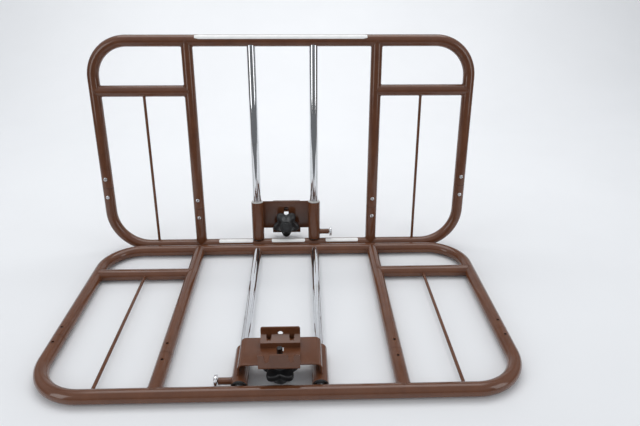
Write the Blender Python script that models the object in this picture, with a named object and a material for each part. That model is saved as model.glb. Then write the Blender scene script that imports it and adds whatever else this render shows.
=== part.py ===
"""A pair of half-length bed guard rails: one lies on the floor, its twin stands behind it.

Each rail is a steel tube frame. Two chrome posts in its middle carry a sliding carrier, whose
clamp grips the side of a bed frame. A spring pin at the foot of one sleeve locks the carrier.

Every rail is modelled in its own frame: X runs across it, Y from its bottom tube up to its top
tube, and +Z towards the outer side, which faces away from the bed. The bed side is -Z, so a
distance "towards the bed" is a positive number here and becomes -Z when a piece is placed.
"""

import math

import bmesh
import bpy
from mathutils import Vector

MM = 0.001

# Driving dimensions ---------------------------------------------------------------------------

GAP = 0.3 * MM  # air between pieces that touch or run on each other

# Frame
RAIL_WIDTH = 863.6 * MM
RAIL_HEIGHT = 508.0 * MM
TUBE_R = 12.7 * MM
TUBE_WALL = 1.2 * MM
UPPER_BEND_R = 80.0 * MM  # centre line of the two upper corners
LOWER_BEND_R = 88.0 * MM
UPRIGHT_X = 208.5 * MM  # inner uprights, from the middle of the rail
BAR_DROP = 108.0 * MM  # cross bars below the top tube, centre to centre
ROD_R = 3.175 * MM
ROD_INSET = 19.1 * MM  # from the start of the lower bends, so a rod stands on straight tube

# Splices, where the frame comes apart for its box
LEG_SEAM_Y = 150.0 * MM
UPRIGHT_SEAM_Y = 96.5 * MM
SEAM_GAP = 0.6 * MM
SPLICE_LENGTH = 70.0 * MM
SPLICE_WALL = 1.2 * MM
RIVET_PITCH = 44.0 * MM
RIVET_R = 2.3 * MM
RIVET_HEAD_R = 4.4 * MM
RIVET_HEAD = 1.0 * MM

# Posts and carrier
POST_X = 68.6 * MM
POST_R = 9.525 * MM
POST_WALL = 1.5 * MM
SLEEVE_R = 14.3 * MM
SLEEVE_WALL = 1.6 * MM
SLEEVE_LENGTH = 93.5 * MM
BUSH_FLANGE = 2.0 * MM
BUSH_LENGTH = 14.0 * MM
PLATE = 3.0 * MM  # sheet of the bridge and both jaws
WEB_RISE = 12.0 * MM  # lower edge of the web above the sleeves' lower ends
WEB_HEIGHT = 71.0 * MM
WEB_REACH = 37.5 * MM  # bed side of the web from the middle plane of the rail
BRIDGE_BEND_R = 11.0 * MM
FLANGE_SHIFT = 1.8 * MM  # the flanges land this far outside the sleeves' axes

# Clamp
BOLT_R = 4.9 * MM
SLOT_RISE = 19.0 * MM  # lowest place of the bolt above the web's lower edge
SLOT_TRAVEL = 31.2 * MM
JAW_WIDTH = 69.5 * MM
JAW_CORNER_R = 4.0 * MM
SLIDING_JAW_DROP = 15.8 * MM  # jaw's back below the web's lower edge
SLIDING_JAW_HEIGHT = 32.0 * MM  # jaw's edge above the web
JAW_BEND_R = 6.0 * MM
FOOT_LENGTH = 44.8 * MM
NOTCH_X = 20.0 * MM
NOTCH_R = 3.8 * MM
NOTCH_DEPTH = 16.4 * MM
HOOK_RISE = 58.8 * MM  # back plate of the fixed jaw above the web's lower edge
HOOK_HEIGHT = 30.4 * MM
NOSE_LENGTH = 16.2 * MM  # fixed jaw's front leg ahead of its back plate
NOSE_HEIGHT = 9.6 * MM  # straight part of that leg
NOSE_SLOPE = 7.1 * MM  # rise of the part that leans back to the plate
NOSE_NOTCH_R = 4.5 * MM
NOSE_NOTCH_FLOOR = 0.8 * MM  # bottom of the notches above the straight part
HOOK_HOLE_R = 4.6 * MM
HOOK_HOLE_RISE = 17.8 * MM
HEAD_R = 5.2 * MM  # corners of the hexagonal bolt head
HEAD_HEIGHT = 15.0 * MM
HEAD_SIDES = 6
WASHER_R = 10.5 * MM
WASHER = 2.0 * MM
KNOB_LOBES = 5
KNOB_TIP_R = 33.0 * MM
KNOB_VALLEY_R = 22.5 * MM
KNOB_LOBE_FULLNESS = 0.7  # below 1 widens the lobes and narrows the valleys
KNOB_BOSS_R = 12.5 * MM
KNOB_BOSS = 14.0 * MM
KNOB_BODY = 12.0 * MM
KNOB_EDGE = 3.0 * MM
KNOB_HUB_R = 15.5 * MM
KNOB_HUB = 16.0 * MM
KNOB_CAP_R = 10.0 * MM
KNOB_CAP = 2.0 * MM

# Spring latch at the foot of the +X sleeve
LATCH_RISE = 15.5 * MM
HOUSING_R = 6.2 * MM
HOUSING_BORE_R = 5.0 * MM
HOUSING_LENGTH = 22.5 * MM
HOUSING_END = 2.0 * MM
PIN_R = 3.0 * MM
PIN_COLLAR_R = 4.5 * MM
PIN_COLLAR = 1.6 * MM
PIN_SHAFT_R = 2.4 * MM
PULL_R = 11.5 * MM
PULL_THICKNESS = 6.0 * MM
PULL_STANDOFF = 1.0 * MM
SPRING_WIRE_R = 0.45 * MM
SPRING_TURNS = 5

# How the pair stands
RAIL_SPACING = 33.0 * MM  # lying rail's top tube to the standing rail's bottom tube
LEAN = math.radians(5.4)

# Facets
TUBE_SIDES = 16
BEND_STEPS = 5
SMALL_SIDES = 12
RIVET_SIDES = 8

# Worked out from the values above -------------------------------------------------------------

HALF_WIDTH = RAIL_WIDTH / 2 - TUBE_R
TOP_Y = RAIL_HEIGHT - 2 * TUBE_R
BAR_Y = TOP_Y - BAR_DROP
ROD_X = HALF_WIDTH - LOWER_BEND_R - ROD_INSET
BORE_R = TUBE_R - TUBE_WALL
SPLICE_R = BORE_R * math.cos(math.pi / TUBE_SIDES) - GAP

SLEEVE_Y = TUBE_R + 2 * GAP + BUSH_FLANGE
SLEEVE_BORE_R = SLEEVE_R - SLEEVE_WALL
WEB_Y = SLEEVE_Y + WEB_RISE
BOLT_Y = WEB_Y + SLOT_RISE
WEB_OUTER = WEB_REACH - PLATE
FOOT_BACK = WEB_REACH + GAP
FOOT_FACE = FOOT_BACK + PLATE
FOOT_Y = WEB_Y - SLIDING_JAW_DROP
HOOK_Y = WEB_Y + HOOK_RISE
NOSE_Y = HOOK_Y - NOSE_LENGTH
KNOB_BACK = WEB_OUTER - 2 * GAP - WASHER
KNOB_FRONT = KNOB_BACK - KNOB_BOSS - KNOB_BODY - KNOB_HUB

LATCH_Y = SLEEVE_Y + LATCH_RISE
PIN_NOSE_X = POST_X + POST_R + GAP
HOUSING_X = POST_X + SLEEVE_R
HOUSING_END_X = HOUSING_X + HOUSING_LENGTH
COLLAR_X = HOUSING_X + 3 * GAP
PULL_X = HOUSING_END_X + PULL_STANDOFF

X_AXIS, Y_AXIS, Z_AXIS = Vector((1, 0, 0)), Vector((0, 1, 0)), Vector((0, 0, 1))


# Materials ------------------------------------------------------------------------------------


def material(name, colour, roughness, metallic):
    made = bpy.data.materials.new(name)
    made.use_nodes = True
    shader = made.node_tree.nodes["Principled BSDF"]
    shader.inputs["Base Color"].default_value = (*colour, 1.0)
    shader.inputs["Roughness"].default_value = roughness
    shader.inputs["Metallic"].default_value = metallic
    return made


# Making meshes --------------------------------------------------------------------------------


def add_object(name, bm, rail, look, location=(0, 0, 0), rotation=(0, 0, 0)):
    """Turns a finished bmesh into a smooth-shaded object, placed in the frame of its rail."""
    bmesh.ops.recalc_face_normals(bm, faces=bm.faces)
    mesh = bpy.data.meshes.new(name)
    bm.to_mesh(mesh)
    bm.free()
    mesh.shade_smooth()
    mesh.set_sharp_from_angle(angle=math.radians(30))
    mesh.materials.append(look)
    made = bpy.data.objects.new(name, mesh)
    bpy.context.scene.collection.objects.link(made)
    made.parent = rail
    made.location = location
    made.rotation_euler = rotation
    return made


def bridge(bm, first, second):
    """Quads between two rings of as many vertices each."""
    for k in range(len(first)):
        after = (k + 1) % len(first)
        bm.faces.new((first[k], first[after], second[after], second[k]))


def close_end(bm, ring, point):
    """Closes a ring with a fan of triangles about a point."""
    middle = bm.verts.new(point)
    for k in range(len(ring)):
        bm.faces.new((ring[k], ring[(k + 1) % len(ring)], middle))


def angles(count):
    return [2 * math.pi * k / count for k in range(count)]


def turned(profile, sides, closed=False):
    """A body turned about Z from (radius, height) points; a closed profile makes a ring."""
    bm = bmesh.new()
    rings = []
    for radius, height in profile:
        if radius > 0:
            ring = [(radius * math.cos(a), radius * math.sin(a), height) for a in angles(sides)]
            rings.append([bm.verts.new(point) for point in ring])
    for first, second in zip(rings, rings[1:]):
        bridge(bm, first, second)
    if closed:
        bridge(bm, rings[-1], rings[0])
    else:
        close_end(bm, rings[0], (0, 0, profile[0][1]))
        close_end(bm, rings[-1], (0, 0, profile[-1][1]))
    return bm


def prism(outline, start, end, axes):
    """Extrudes an outline of (u, v) points from start to end; axes are the u, v and w vectors."""
    u_axis, v_axis, w_axis = axes
    bm = bmesh.new()
    corners = [bm.verts.new(u * u_axis + v * v_axis + start * w_axis) for u, v in outline]
    face = bm.faces.new(corners)
    grown = bmesh.ops.extrude_face_region(bm, geom=[face])
    moved = [item for item in grown["geom"] if isinstance(item, bmesh.types.BMVert)]
    bmesh.ops.translate(bm, verts=moved, vec=(end - start) * w_axis)
    return bm


def arc(centre, radius, start, end, steps):
    """Points along an arc, with start and end in degrees."""
    turn = [math.radians(start + (end - start) * k / steps) for k in range(steps + 1)]
    return [(centre[0] + radius * math.cos(a), centre[1] + radius * math.sin(a)) for a in turn]


def stadium(x, low, high, radius, steps=6):
    """A slot's outline: straight sides along v between two half circles."""
    return arc((x, high), radius, 0, 180, steps) + arc((x, low), radius, 180, 360, steps)


def cutter(name, bm, rail, location=(0, 0, 0), rotation=(0, 0, 0)):
    made = add_object(name, bm, rail, bpy.data.materials["guide"], location, rotation)
    made.hide_render = True
    made.display_type = "WIRE"
    return made


def combine(target, tool, operation):
    step = target.modifiers.new(operation.lower(), "BOOLEAN")
    step.operation = operation
    step.solver = "EXACT"
    step.object = tool


# Tubes of the frame ---------------------------------------------------------------------------


def seat(mate_r, side):
    """How far a crossing tube's surface is from its axis, at this distance from its crown."""
    return math.sqrt((mate_r + GAP) ** 2 - side**2)


def tube_along(stations, outer_r, inner_r, sides=TUBE_SIDES):
    """A tube swept along (point, direction) stations in the rail's plane.

    A station's last value says how far the tube's end moves along its direction for a vertex at
    height z, which shapes the fish mouth of an end that is welded to a crossing tube.
    """
    bm = bmesh.new()
    shells = []
    for radius in (outer_r, inner_r):
        rings = []
        for point, along, shift in stations:
            across = along.cross(Z_AXIS)
            ring = []
            for a in angles(sides):
                z = radius * math.sin(a)
                place = point + radius * math.cos(a) * across + z * Z_AXIS + shift(z) * along
                ring.append(bm.verts.new(place))
            rings.append(ring)
        for first, second in zip(rings, rings[1:]):
            bridge(bm, first, second)
        shells.append(rings)
    outer, inner = shells
    bridge(bm, outer[0], inner[0])
    bridge(bm, outer[-1], inner[-1])
    return bm


def flat_end(z):
    return 0.0


def straight_tube(length, outer_r, inner_r, start_mate=None, end_mate=None, sides=TUBE_SIDES):
    """A tube along +Y. Its length runs between the axes of the tubes it is welded to."""

    def start(z):
        return seat(start_mate, z) if start_mate else 0.0

    def end(z):
        return -seat(end_mate, z) if end_mate else 0.0

    stations = [(Vector((0, 0, 0)), Y_AXIS, start), (length * Y_AXIS, Y_AXIS, end)]
    return tube_along(stations, outer_r, inner_r, sides)


def bow_stations(bend_r, seam, level):
    """Stations of a U-shaped bow, from one leg's seam round two corners to the other's."""
    towards = 1 if level > seam else -1
    stations = [(Vector((-HALF_WIDTH, seam, 0)), towards * Y_AXIS, flat_end)]
    for side in (-1, 1):
        middle = Vector((side * (HALF_WIDTH - bend_r), level - towards * bend_r, 0))
        for k in range(BEND_STEPS + 1):
            turn = math.pi / 2 * (k / BEND_STEPS if side < 0 else 1 - k / BEND_STEPS)
            out = Vector((side * math.cos(turn), towards * math.sin(turn), 0))
            along = towards * Vector((out.y, -out.x, 0))
            stations.append((middle + bend_r * out, along, flat_end))
    stations.append((Vector((HALF_WIDTH, seam, 0)), -towards * Y_AXIS, flat_end))
    return stations


def rivet_hole(prefix, rail, x, y):
    profile = [(0, -2 * TUBE_R), (RIVET_R + GAP, -2 * TUBE_R), (RIVET_R + GAP, 2 * TUBE_R), (0, 2 * TUBE_R)]
    return cutter(f"{prefix}_rivet_hole", turned(profile, RIVET_SIDES), rail, (x, y, 0))


def build_frame(prefix, rail, paint):
    seam = SEAM_GAP / 2
    upper = tube_along(bow_stations(UPPER_BEND_R, LEG_SEAM_Y + seam, TOP_Y), TUBE_R, BORE_R)
    lower = tube_along(bow_stations(LOWER_BEND_R, LEG_SEAM_Y - seam, 0), TUBE_R, BORE_R)
    upper_bow = add_object(f"{prefix}_upper_bow", upper, rail, paint)
    lower_bow = add_object(f"{prefix}_lower_bow", lower, rail, paint)
    for side, word in ((-1, "left"), (1, "right")):
        x = side * UPRIGHT_X
        upper = straight_tube(TOP_Y - UPRIGHT_SEAM_Y - seam, TUBE_R, BORE_R, end_mate=TUBE_R)
        lower = straight_tube(UPRIGHT_SEAM_Y - seam, TUBE_R, BORE_R, start_mate=TUBE_R)
        seam_top = (x, UPRIGHT_SEAM_Y + seam, 0)
        upper_upright = add_object(f"{prefix}_upper_upright_{word}", upper, rail, paint, seam_top)
        lower_upright = add_object(f"{prefix}_lower_upright_{word}", lower, rail, paint, (x, 0, 0))

        bar = straight_tube(HALF_WIDTH - UPRIGHT_X, TUBE_R, BORE_R, TUBE_R, TUBE_R)
        turn = (0, 0, -side * math.pi / 2)
        add_object(f"{prefix}_cross_bar_{word}", bar, rail, paint, (x, BAR_Y, 0), turn)

        leg_x = side * HALF_WIDTH
        for above, bow, upright in ((1, upper_bow, upper_upright), (-1, lower_bow, lower_upright)):
            step = above * RIVET_PITCH / 2
            combine(bow, rivet_hole(prefix, rail, leg_x, LEG_SEAM_Y + step), "DIFFERENCE")
            combine(upright, rivet_hole(prefix, rail, x, UPRIGHT_SEAM_Y + step), "DIFFERENCE")


def build_rods(prefix, rail, paint):
    """The thin filler rods, solid, from each cross bar down to the bottom tube."""
    for side, word in ((-1, "left"), (1, "right")):
        bm = bmesh.new()
        ends = []
        for level, mate in ((0.0, 1), (BAR_Y, -1)):
            ring = []
            for a in angles(SMALL_SIDES):
                z = ROD_R * math.sin(a)
                ring.append(bm.verts.new((ROD_R * math.cos(a), level + mate * seat(TUBE_R, z), z)))
            ends.append(ring)
            close_end(bm, ring, (0, level + mate * seat(TUBE_R, 0), 0))
        bridge(bm, *ends)
        add_object(f"{prefix}_rod_{word}", bm, rail, paint, (side * ROD_X, 0, 0))


def build_splices(prefix, rail, zinc):
    """A short tube inside each seam, held by two blind rivets whose heads show outside."""
    for side, word in ((-1, "left"), (1, "right")):
        for kind, x, y in (("leg", HALF_WIDTH, LEG_SEAM_Y), ("upright", UPRIGHT_X, UPRIGHT_SEAM_Y)):
            bm = straight_tube(SPLICE_LENGTH, SPLICE_R, SPLICE_R - SPLICE_WALL, sides=SMALL_SIDES)
            low = (side * x, y - SPLICE_LENGTH / 2, 0)
            splice = add_object(f"{prefix}_{kind}_splice_{word}", bm, rail, zinc, low)
            for step in (-RIVET_PITCH / 2, RIVET_PITCH / 2):
                under = TUBE_R + GAP
                rivet = turned(
                    [
                        (0, SPLICE_R - 3 * SPLICE_WALL),
                        (RIVET_R, SPLICE_R - 3 * SPLICE_WALL),
                        (RIVET_R, under),
                        (RIVET_HEAD_R, under),
                        (RIVET_HEAD_R * 0.8, under + RIVET_HEAD * 0.7),
                        (RIVET_HEAD_R * 0.4, under + RIVET_HEAD),
                        (0, under + RIVET_HEAD),
                    ],
                    RIVET_SIDES,
                )
                where = (side * x, y + step, 0)
                combine(splice, cutter(f"{prefix}_rivet", rivet, rail, where), "UNION")
                hole = turned(
                    [(0, 0), (RIVET_R + GAP, 0), (RIVET_R + GAP, 2 * TUBE_R), (0, 2 * TUBE_R)],
                    RIVET_SIDES,
                )
                back = cutter(f"{prefix}_splice_hole", hole, rail, where, (math.pi, 0, 0))
                combine(splice, back, "DIFFERENCE")


def build_posts(prefix, rail, chrome):
    for side, word in ((-1, "left"), (1, "right")):
        bm = straight_tube(TOP_Y, POST_R, POST_R - POST_WALL, TUBE_R, TUBE_R)
        add_object(f"{prefix}_post_{word}", bm, rail, chrome, (side * POST_X, 0, 0))


# Carrier --------------------------------------------------------------------------------------


def build_sleeves(prefix, rail, paint, nylon, rubber):
    """Two sleeves that run on the posts, with a flanged bush in each end."""
    up = (-math.pi / 2, 0, 0)
    for side, word in ((-1, "left"), (1, "right")):
        bm = straight_tube(SLEEVE_LENGTH, SLEEVE_R, SLEEVE_BORE_R)
        foot = (side * POST_X, SLEEVE_Y, 0)
        sleeve = add_object(f"{prefix}_sleeve_{word}", bm, rail, paint, foot)
        bore_r = SLEEVE_BORE_R * math.cos(math.pi / TUBE_SIDES) - GAP
        run_r = POST_R + GAP
        profile = [
            (run_r, -BUSH_FLANGE),
            (SLEEVE_R, -BUSH_FLANGE),
            (SLEEVE_R, 0),
            (bore_r, 0),
            (bore_r, BUSH_LENGTH),
            (run_r, BUSH_LENGTH),
        ]
        top = (side * POST_X, SLEEVE_Y + SLEEVE_LENGTH + GAP, 0)
        bottom = (side * POST_X, SLEEVE_Y - GAP, 0)
        down = (math.pi / 2, 0, 0)
        upper = turned(profile, TUBE_SIDES, closed=True)
        lower = turned(profile, TUBE_SIDES, closed=True)
        add_object(f"{prefix}_upper_bush_{word}", upper, rail, nylon, top, down)
        bush = add_object(f"{prefix}_lower_bush_{word}", lower, rail, rubber, bottom, up)
        if side > 0:
            reach = 2 * SLEEVE_R
            hole = [(0, 0), (PIN_R + GAP, 0), (PIN_R + GAP, reach), (0, reach)]
            where = (POST_X, LATCH_Y, 0)
            pin_hole = cutter(
                f"{prefix}_pin_hole", turned(hole, SMALL_SIDES), rail, where, (0, math.pi / 2, 0)
            )
            combine(sleeve, pin_hole, "DIFFERENCE")
            if LATCH_RISE - PIN_R - GAP < BUSH_LENGTH + GAP:
                combine(bush, pin_hole, "DIFFERENCE")


def build_bridge(prefix, rail, paint):
    """A channel whose web stands off towards the bed, its two flanges landing on the sleeves."""
    low, high = SLEEVE_R + GAP, WEB_REACH
    outline = []
    flange = POST_X + FLANGE_SHIFT
    for edge, radius in ((flange + PLATE / 2, BRIDGE_BEND_R), (flange - PLATE / 2, BRIDGE_BEND_R - PLATE)):
        top = high if radius == BRIDGE_BEND_R else high - PLATE
        half = [(edge, low)] + arc((edge - radius, top - radius), radius, 0, 90, 5)
        other = [(-u, v) for u, v in reversed(half)]
        outline += (half + other) if radius == BRIDGE_BEND_R else (half + other)[::-1]
    bm = prism(outline, 0, WEB_HEIGHT, (X_AXIS, -Z_AXIS, Y_AXIS))
    made = add_object(f"{prefix}_carrier_bridge", bm, rail, paint, (0, WEB_Y, 0))
    slot = stadium(0, 0, SLOT_TRAVEL, BOLT_R + 2 * GAP)
    through = prism(slot, WEB_OUTER - PLATE, WEB_REACH + PLATE, (X_AXIS, Y_AXIS, -Z_AXIS))
    combine(made, cutter(f"{prefix}_web_slot", through, rail, (0, BOLT_Y, 0)), "DIFFERENCE")


def build_latch(prefix, rail, paint, chrome, steel):
    """A pull pin: housing on the sleeve, a collared pin in it, and the spring behind the collar."""
    along_x = (0, math.pi / 2, 0)
    end_wall = HOUSING_LENGTH - HOUSING_END
    start = -SLEEVE_R / 2
    housing = turned(
        [
            (HOUSING_BORE_R, start),
            (HOUSING_R, start),
            (HOUSING_R, HOUSING_LENGTH),
            (PIN_SHAFT_R + GAP, HOUSING_LENGTH),
            (PIN_SHAFT_R + GAP, end_wall),
            (HOUSING_BORE_R, end_wall),
        ],
        TUBE_SIDES,
        closed=True,
    )
    where = (HOUSING_X, LATCH_Y, 0)
    made = add_object(f"{prefix}_latch_housing", housing, rail, paint, where, along_x)
    mouth_r = SLEEVE_R + GAP
    profile = [(0, -2 * HOUSING_R), (mouth_r, -2 * HOUSING_R), (mouth_r, 2 * HOUSING_R), (0, 2 * HOUSING_R)]
    mouth = cutter(
        f"{prefix}_housing_mouth", turned(profile, 2 * TUBE_SIDES), rail,
        (POST_X, LATCH_Y, 0), (math.pi / 2, 0, 0),
    )
    combine(made, mouth, "DIFFERENCE")

    nose = PIN_NOSE_X - COLLAR_X
    pull = PULL_X - COLLAR_X
    pin = turned(
        [
            (0, nose),
            (PIN_R * 0.7, nose),
            (PIN_R, nose + PIN_R * 0.4),
            (PIN_R, 0),
            (PIN_COLLAR_R, 0),
            (PIN_COLLAR_R, PIN_COLLAR),
            (PIN_SHAFT_R, PIN_COLLAR),
            (PIN_SHAFT_R, pull),
            (PULL_R, pull),
            (PULL_R, pull + PULL_THICKNESS * 0.75),
            (PULL_R * 0.8, pull + PULL_THICKNESS),
            (0, pull + PULL_THICKNESS),
        ],
        SMALL_SIDES,
    )
    add_object(f"{prefix}_latch_pin", pin, rail, chrome, (COLLAR_X, LATCH_Y, 0), along_x)

    coil_r = HOUSING_BORE_R * math.cos(math.pi / TUBE_SIDES) - GAP - SPRING_WIRE_R
    low = COLLAR_X + PIN_COLLAR + GAP + SPRING_WIRE_R
    high = HOUSING_END_X - HOUSING_END - GAP - SPRING_WIRE_R
    spring = coil(coil_r, SPRING_WIRE_R, high - low, SPRING_TURNS)
    add_object(f"{prefix}_latch_spring", spring, rail, steel, (low, LATCH_Y, 0), along_x)


def coil(radius, wire_r, length, turns, per_turn=8, sides=4):
    """A round-wire compression spring along Z, with cut ends."""
    bm = bmesh.new()
    rings = []
    for k in range(turns * per_turn + 1):
        a = 2 * math.pi * k / per_turn
        out = Vector((math.cos(a), math.sin(a), 0))
        centre = radius * out + length * k / (turns * per_turn) * Z_AXIS
        ring = [centre + wire_r * (math.cos(b) * out + math.sin(b) * Z_AXIS) for b in angles(sides)]
        rings.append([bm.verts.new(point) for point in ring])
    for first, second in zip(rings, rings[1:]):
        bridge(bm, first, second)
    bm.faces.new(rings[0])
    bm.faces.new(rings[-1])
    return bm


# Clamp ----------------------------------------------------------------------------------------


def cut_corners(jaw, prefix, rail, edge, y_start, y_end):
    """Rounds the two free corners of a jaw, whose edge is at this distance towards the bed."""
    for side in (-1, 1):
        x, low = JAW_WIDTH / 2, edge - JAW_CORNER_R
        outline = arc((x - JAW_CORNER_R, low), JAW_CORNER_R, 0, 90, 4)
        outline += [(x - JAW_CORNER_R, edge + PLATE), (x + PLATE, edge + PLATE), (x + PLATE, low)]
        outline = [(side * u, v) for u, v in outline]
        through = prism(outline, y_start, y_end, (X_AXIS, -Z_AXIS, Y_AXIS))
        combine(jaw, cutter(f"{prefix}_jaw_corner", through, rail), "DIFFERENCE")


def build_fixed_jaw(prefix, rail, paint):
    """A plate welded upright on the web, with a notched nose that leans back to it."""
    top, knee = FOOT_BACK + HOOK_HEIGHT, FOOT_BACK + NOSE_HEIGHT
    lean = math.atan2(NOSE_LENGTH, NOSE_SLOPE)
    inner_knee = knee - PLATE * math.tan(lean / 2)
    inner_top = knee + NOSE_SLOPE - PLATE / math.sin(lean)
    outline = [(-NOSE_LENGTH, FOOT_BACK), (-NOSE_LENGTH, knee), (0, knee + NOSE_SLOPE), (0, top)]
    outline += [(PLATE, top), (PLATE, FOOT_BACK), (0, FOOT_BACK), (0, inner_top)]
    outline += [(PLATE - NOSE_LENGTH, inner_knee), (PLATE - NOSE_LENGTH, FOOT_BACK)]
    bm = prism(outline, -JAW_WIDTH / 2, JAW_WIDTH / 2, (Y_AXIS, -Z_AXIS, X_AXIS))
    jaw = add_object(f"{prefix}_fixed_jaw", bm, rail, paint, (0, HOOK_Y, 0))
    for side in (-1, 1):
        low = knee + NOSE_NOTCH_FLOOR + NOSE_NOTCH_R
        notch = stadium(side * NOTCH_X, low, top, NOSE_NOTCH_R)
        through = prism(notch, -2 * NOSE_LENGTH, GAP, (X_AXIS, -Z_AXIS, Y_AXIS))
        combine(jaw, cutter(f"{prefix}_nose_notch", through, rail, (0, HOOK_Y, 0)), "DIFFERENCE")
    cut_corners(jaw, prefix, rail, top, HOOK_Y - PLATE, HOOK_Y + 2 * PLATE)
    profile = [(0, -2 * PLATE), (HOOK_HOLE_R, -2 * PLATE), (HOOK_HOLE_R, GAP), (0, GAP)]
    where = (0, HOOK_Y, -(FOOT_BACK + HOOK_HOLE_RISE))
    hole = cutter(f"{prefix}_hook_hole", turned(profile, TUBE_SIDES), rail, where, (math.pi / 2, 0, 0))
    combine(jaw, hole, "DIFFERENCE")


def build_sliding_jaw(prefix, rail, paint):
    """An angle that lies on the web and faces the nose; the bolt clamps its foot."""
    inner_r = JAW_BEND_R - PLATE
    bend = (JAW_BEND_R, FOOT_BACK + JAW_BEND_R)
    edge = WEB_REACH + SLIDING_JAW_HEIGHT
    outline = [(FOOT_LENGTH, FOOT_BACK)] + arc(bend, JAW_BEND_R, 270, 180, 4)
    outline += [(0, edge), (PLATE, edge)] + arc(bend, inner_r, 180, 270, 3)
    outline += [(FOOT_LENGTH, FOOT_FACE)]
    bm = prism(outline, -JAW_WIDTH / 2, JAW_WIDTH / 2, (Y_AXIS, -Z_AXIS, X_AXIS))
    jaw = add_object(f"{prefix}_sliding_jaw", bm, rail, paint, (0, FOOT_Y, 0))
    for side in (-1, 1):
        notch = stadium(side * NOTCH_X, edge - NOTCH_DEPTH + NOTCH_R, 2 * edge, NOTCH_R)
        through = prism(notch, -PLATE, 2 * PLATE, (X_AXIS, -Z_AXIS, Y_AXIS))
        combine(jaw, cutter(f"{prefix}_jaw_notch", through, rail, (0, FOOT_Y, 0)), "DIFFERENCE")
    cut_corners(jaw, prefix, rail, edge, FOOT_Y - PLATE, FOOT_Y + 2 * PLATE)
    hole_r = BOLT_R + GAP
    profile = [(0, WEB_OUTER), (hole_r, WEB_OUTER), (hole_r, FOOT_FACE + PLATE), (0, FOOT_FACE + PLATE)]
    hole = cutter(
        f"{prefix}_foot_hole", turned(profile, TUBE_SIDES), rail, (0, BOLT_Y, 0), (math.pi, 0, 0)
    )
    combine(jaw, hole, "DIFFERENCE")


def build_bolt(prefix, rail, zinc):
    """The clamp bolt with a hexagonal head on the bed side, and its washer under the knob."""
    head = FOOT_FACE + GAP
    washer = WEB_OUTER - GAP
    shank_end = KNOB_BACK - KNOB_BOSS
    bm = turned(
        [
            (0, head + HEAD_HEIGHT / 2),
            (BOLT_R, head + HEAD_HEIGHT / 2),
            (BOLT_R, washer),
            (WASHER_R, washer),
            (WASHER_R, washer - WASHER),
            (BOLT_R, washer - WASHER),
            (BOLT_R, shank_end),
            (0, shank_end),
        ],
        SMALL_SIDES,
    )
    bolt = add_object(f"{prefix}_clamp_bolt", bm, rail, zinc, (0, BOLT_Y, 0), (math.pi, 0, 0))
    corners = [(HEAD_R * math.cos(a), HEAD_R * math.sin(a)) for a in angles(HEAD_SIDES)]
    hexagon = prism(corners, head, head + HEAD_HEIGHT, (X_AXIS, Y_AXIS, -Z_AXIS))
    combine(bolt, cutter(f"{prefix}_bolt_head", hexagon, rail, (0, BOLT_Y, 0)), "UNION")


def build_knob(prefix, rail, plastic, turn):
    """A star knob: round boss, lobes that slope to a hub, a cap, and a blind bore for the bolt."""
    count = KNOB_LOBES * 6

    def round_ring(radius):
        return [radius] * count

    def star_ring(inset):
        waves = [(1 + math.cos(KNOB_LOBES * a)) / 2 for a in angles(count)]
        reach = KNOB_TIP_R - KNOB_VALLEY_R
        return [KNOB_VALLEY_R - inset + reach * wave**KNOB_LOBE_FULLNESS for wave in waves]

    star_back = KNOB_BACK - KNOB_BOSS
    star_front = star_back - KNOB_BODY
    bore_r = BOLT_R + GAP
    levels = [
        (star_back - 2 * GAP, round_ring(bore_r)),
        (KNOB_BACK, round_ring(bore_r)),
        (KNOB_BACK, round_ring(KNOB_BOSS_R)),
        (star_back + KNOB_EDGE, round_ring(KNOB_BOSS_R)),
        (star_back, star_ring(KNOB_EDGE)),
        (star_back - KNOB_EDGE, star_ring(0)),
        (star_front + KNOB_EDGE, star_ring(0)),
        (star_front, star_ring(KNOB_EDGE)),
        (KNOB_FRONT, round_ring(KNOB_HUB_R)),
        (KNOB_FRONT, round_ring(KNOB_CAP_R)),
        (KNOB_FRONT - KNOB_CAP, round_ring(KNOB_CAP_R - KNOB_CAP)),
    ]
    bm = bmesh.new()
    rings = []
    for level, radii in levels:
        ring = []
        for a, radius in zip(angles(count), radii):
            lobe = a - math.pi / 2  # one lobe points down the rail
            ring.append(bm.verts.new((radius * math.cos(lobe), radius * math.sin(lobe), -level)))
        rings.append(ring)
    for first, second in zip(rings, rings[1:]):
        bridge(bm, first, second)
    close_end(bm, rings[0], (0, 0, -levels[0][0]))
    close_end(bm, rings[-1], (0, 0, -levels[-1][0]))
    add_object(f"{prefix}_clamp_knob", bm, rail, plastic, (0, BOLT_Y, 0), (0, 0, turn))


# The pair -------------------------------------------------------------------------------------


def build_rail(prefix, looks, location, rotation, knob_turn):
    rail = bpy.data.objects.new(f"{prefix}_rail", None)
    bpy.context.scene.collection.objects.link(rail)
    rail.location = location
    rail.rotation_euler = rotation
    build_frame(prefix, rail, looks["paint"])
    build_rods(prefix, rail, looks["paint"])
    build_splices(prefix, rail, looks["zinc"])
    build_posts(prefix, rail, looks["chrome"])
    build_sleeves(prefix, rail, looks["paint"], looks["nylon"], looks["black nylon"])
    build_bridge(prefix, rail, looks["paint"])
    build_latch(prefix, rail, looks["paint"], looks["chrome"], looks["zinc"])
    build_fixed_jaw(prefix, rail, looks["paint"])
    build_sliding_jaw(prefix, rail, looks["paint"])
    build_bolt(prefix, rail, looks["zinc"])
    build_knob(prefix, rail, looks["plastic"], knob_turn)
    return rail


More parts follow.
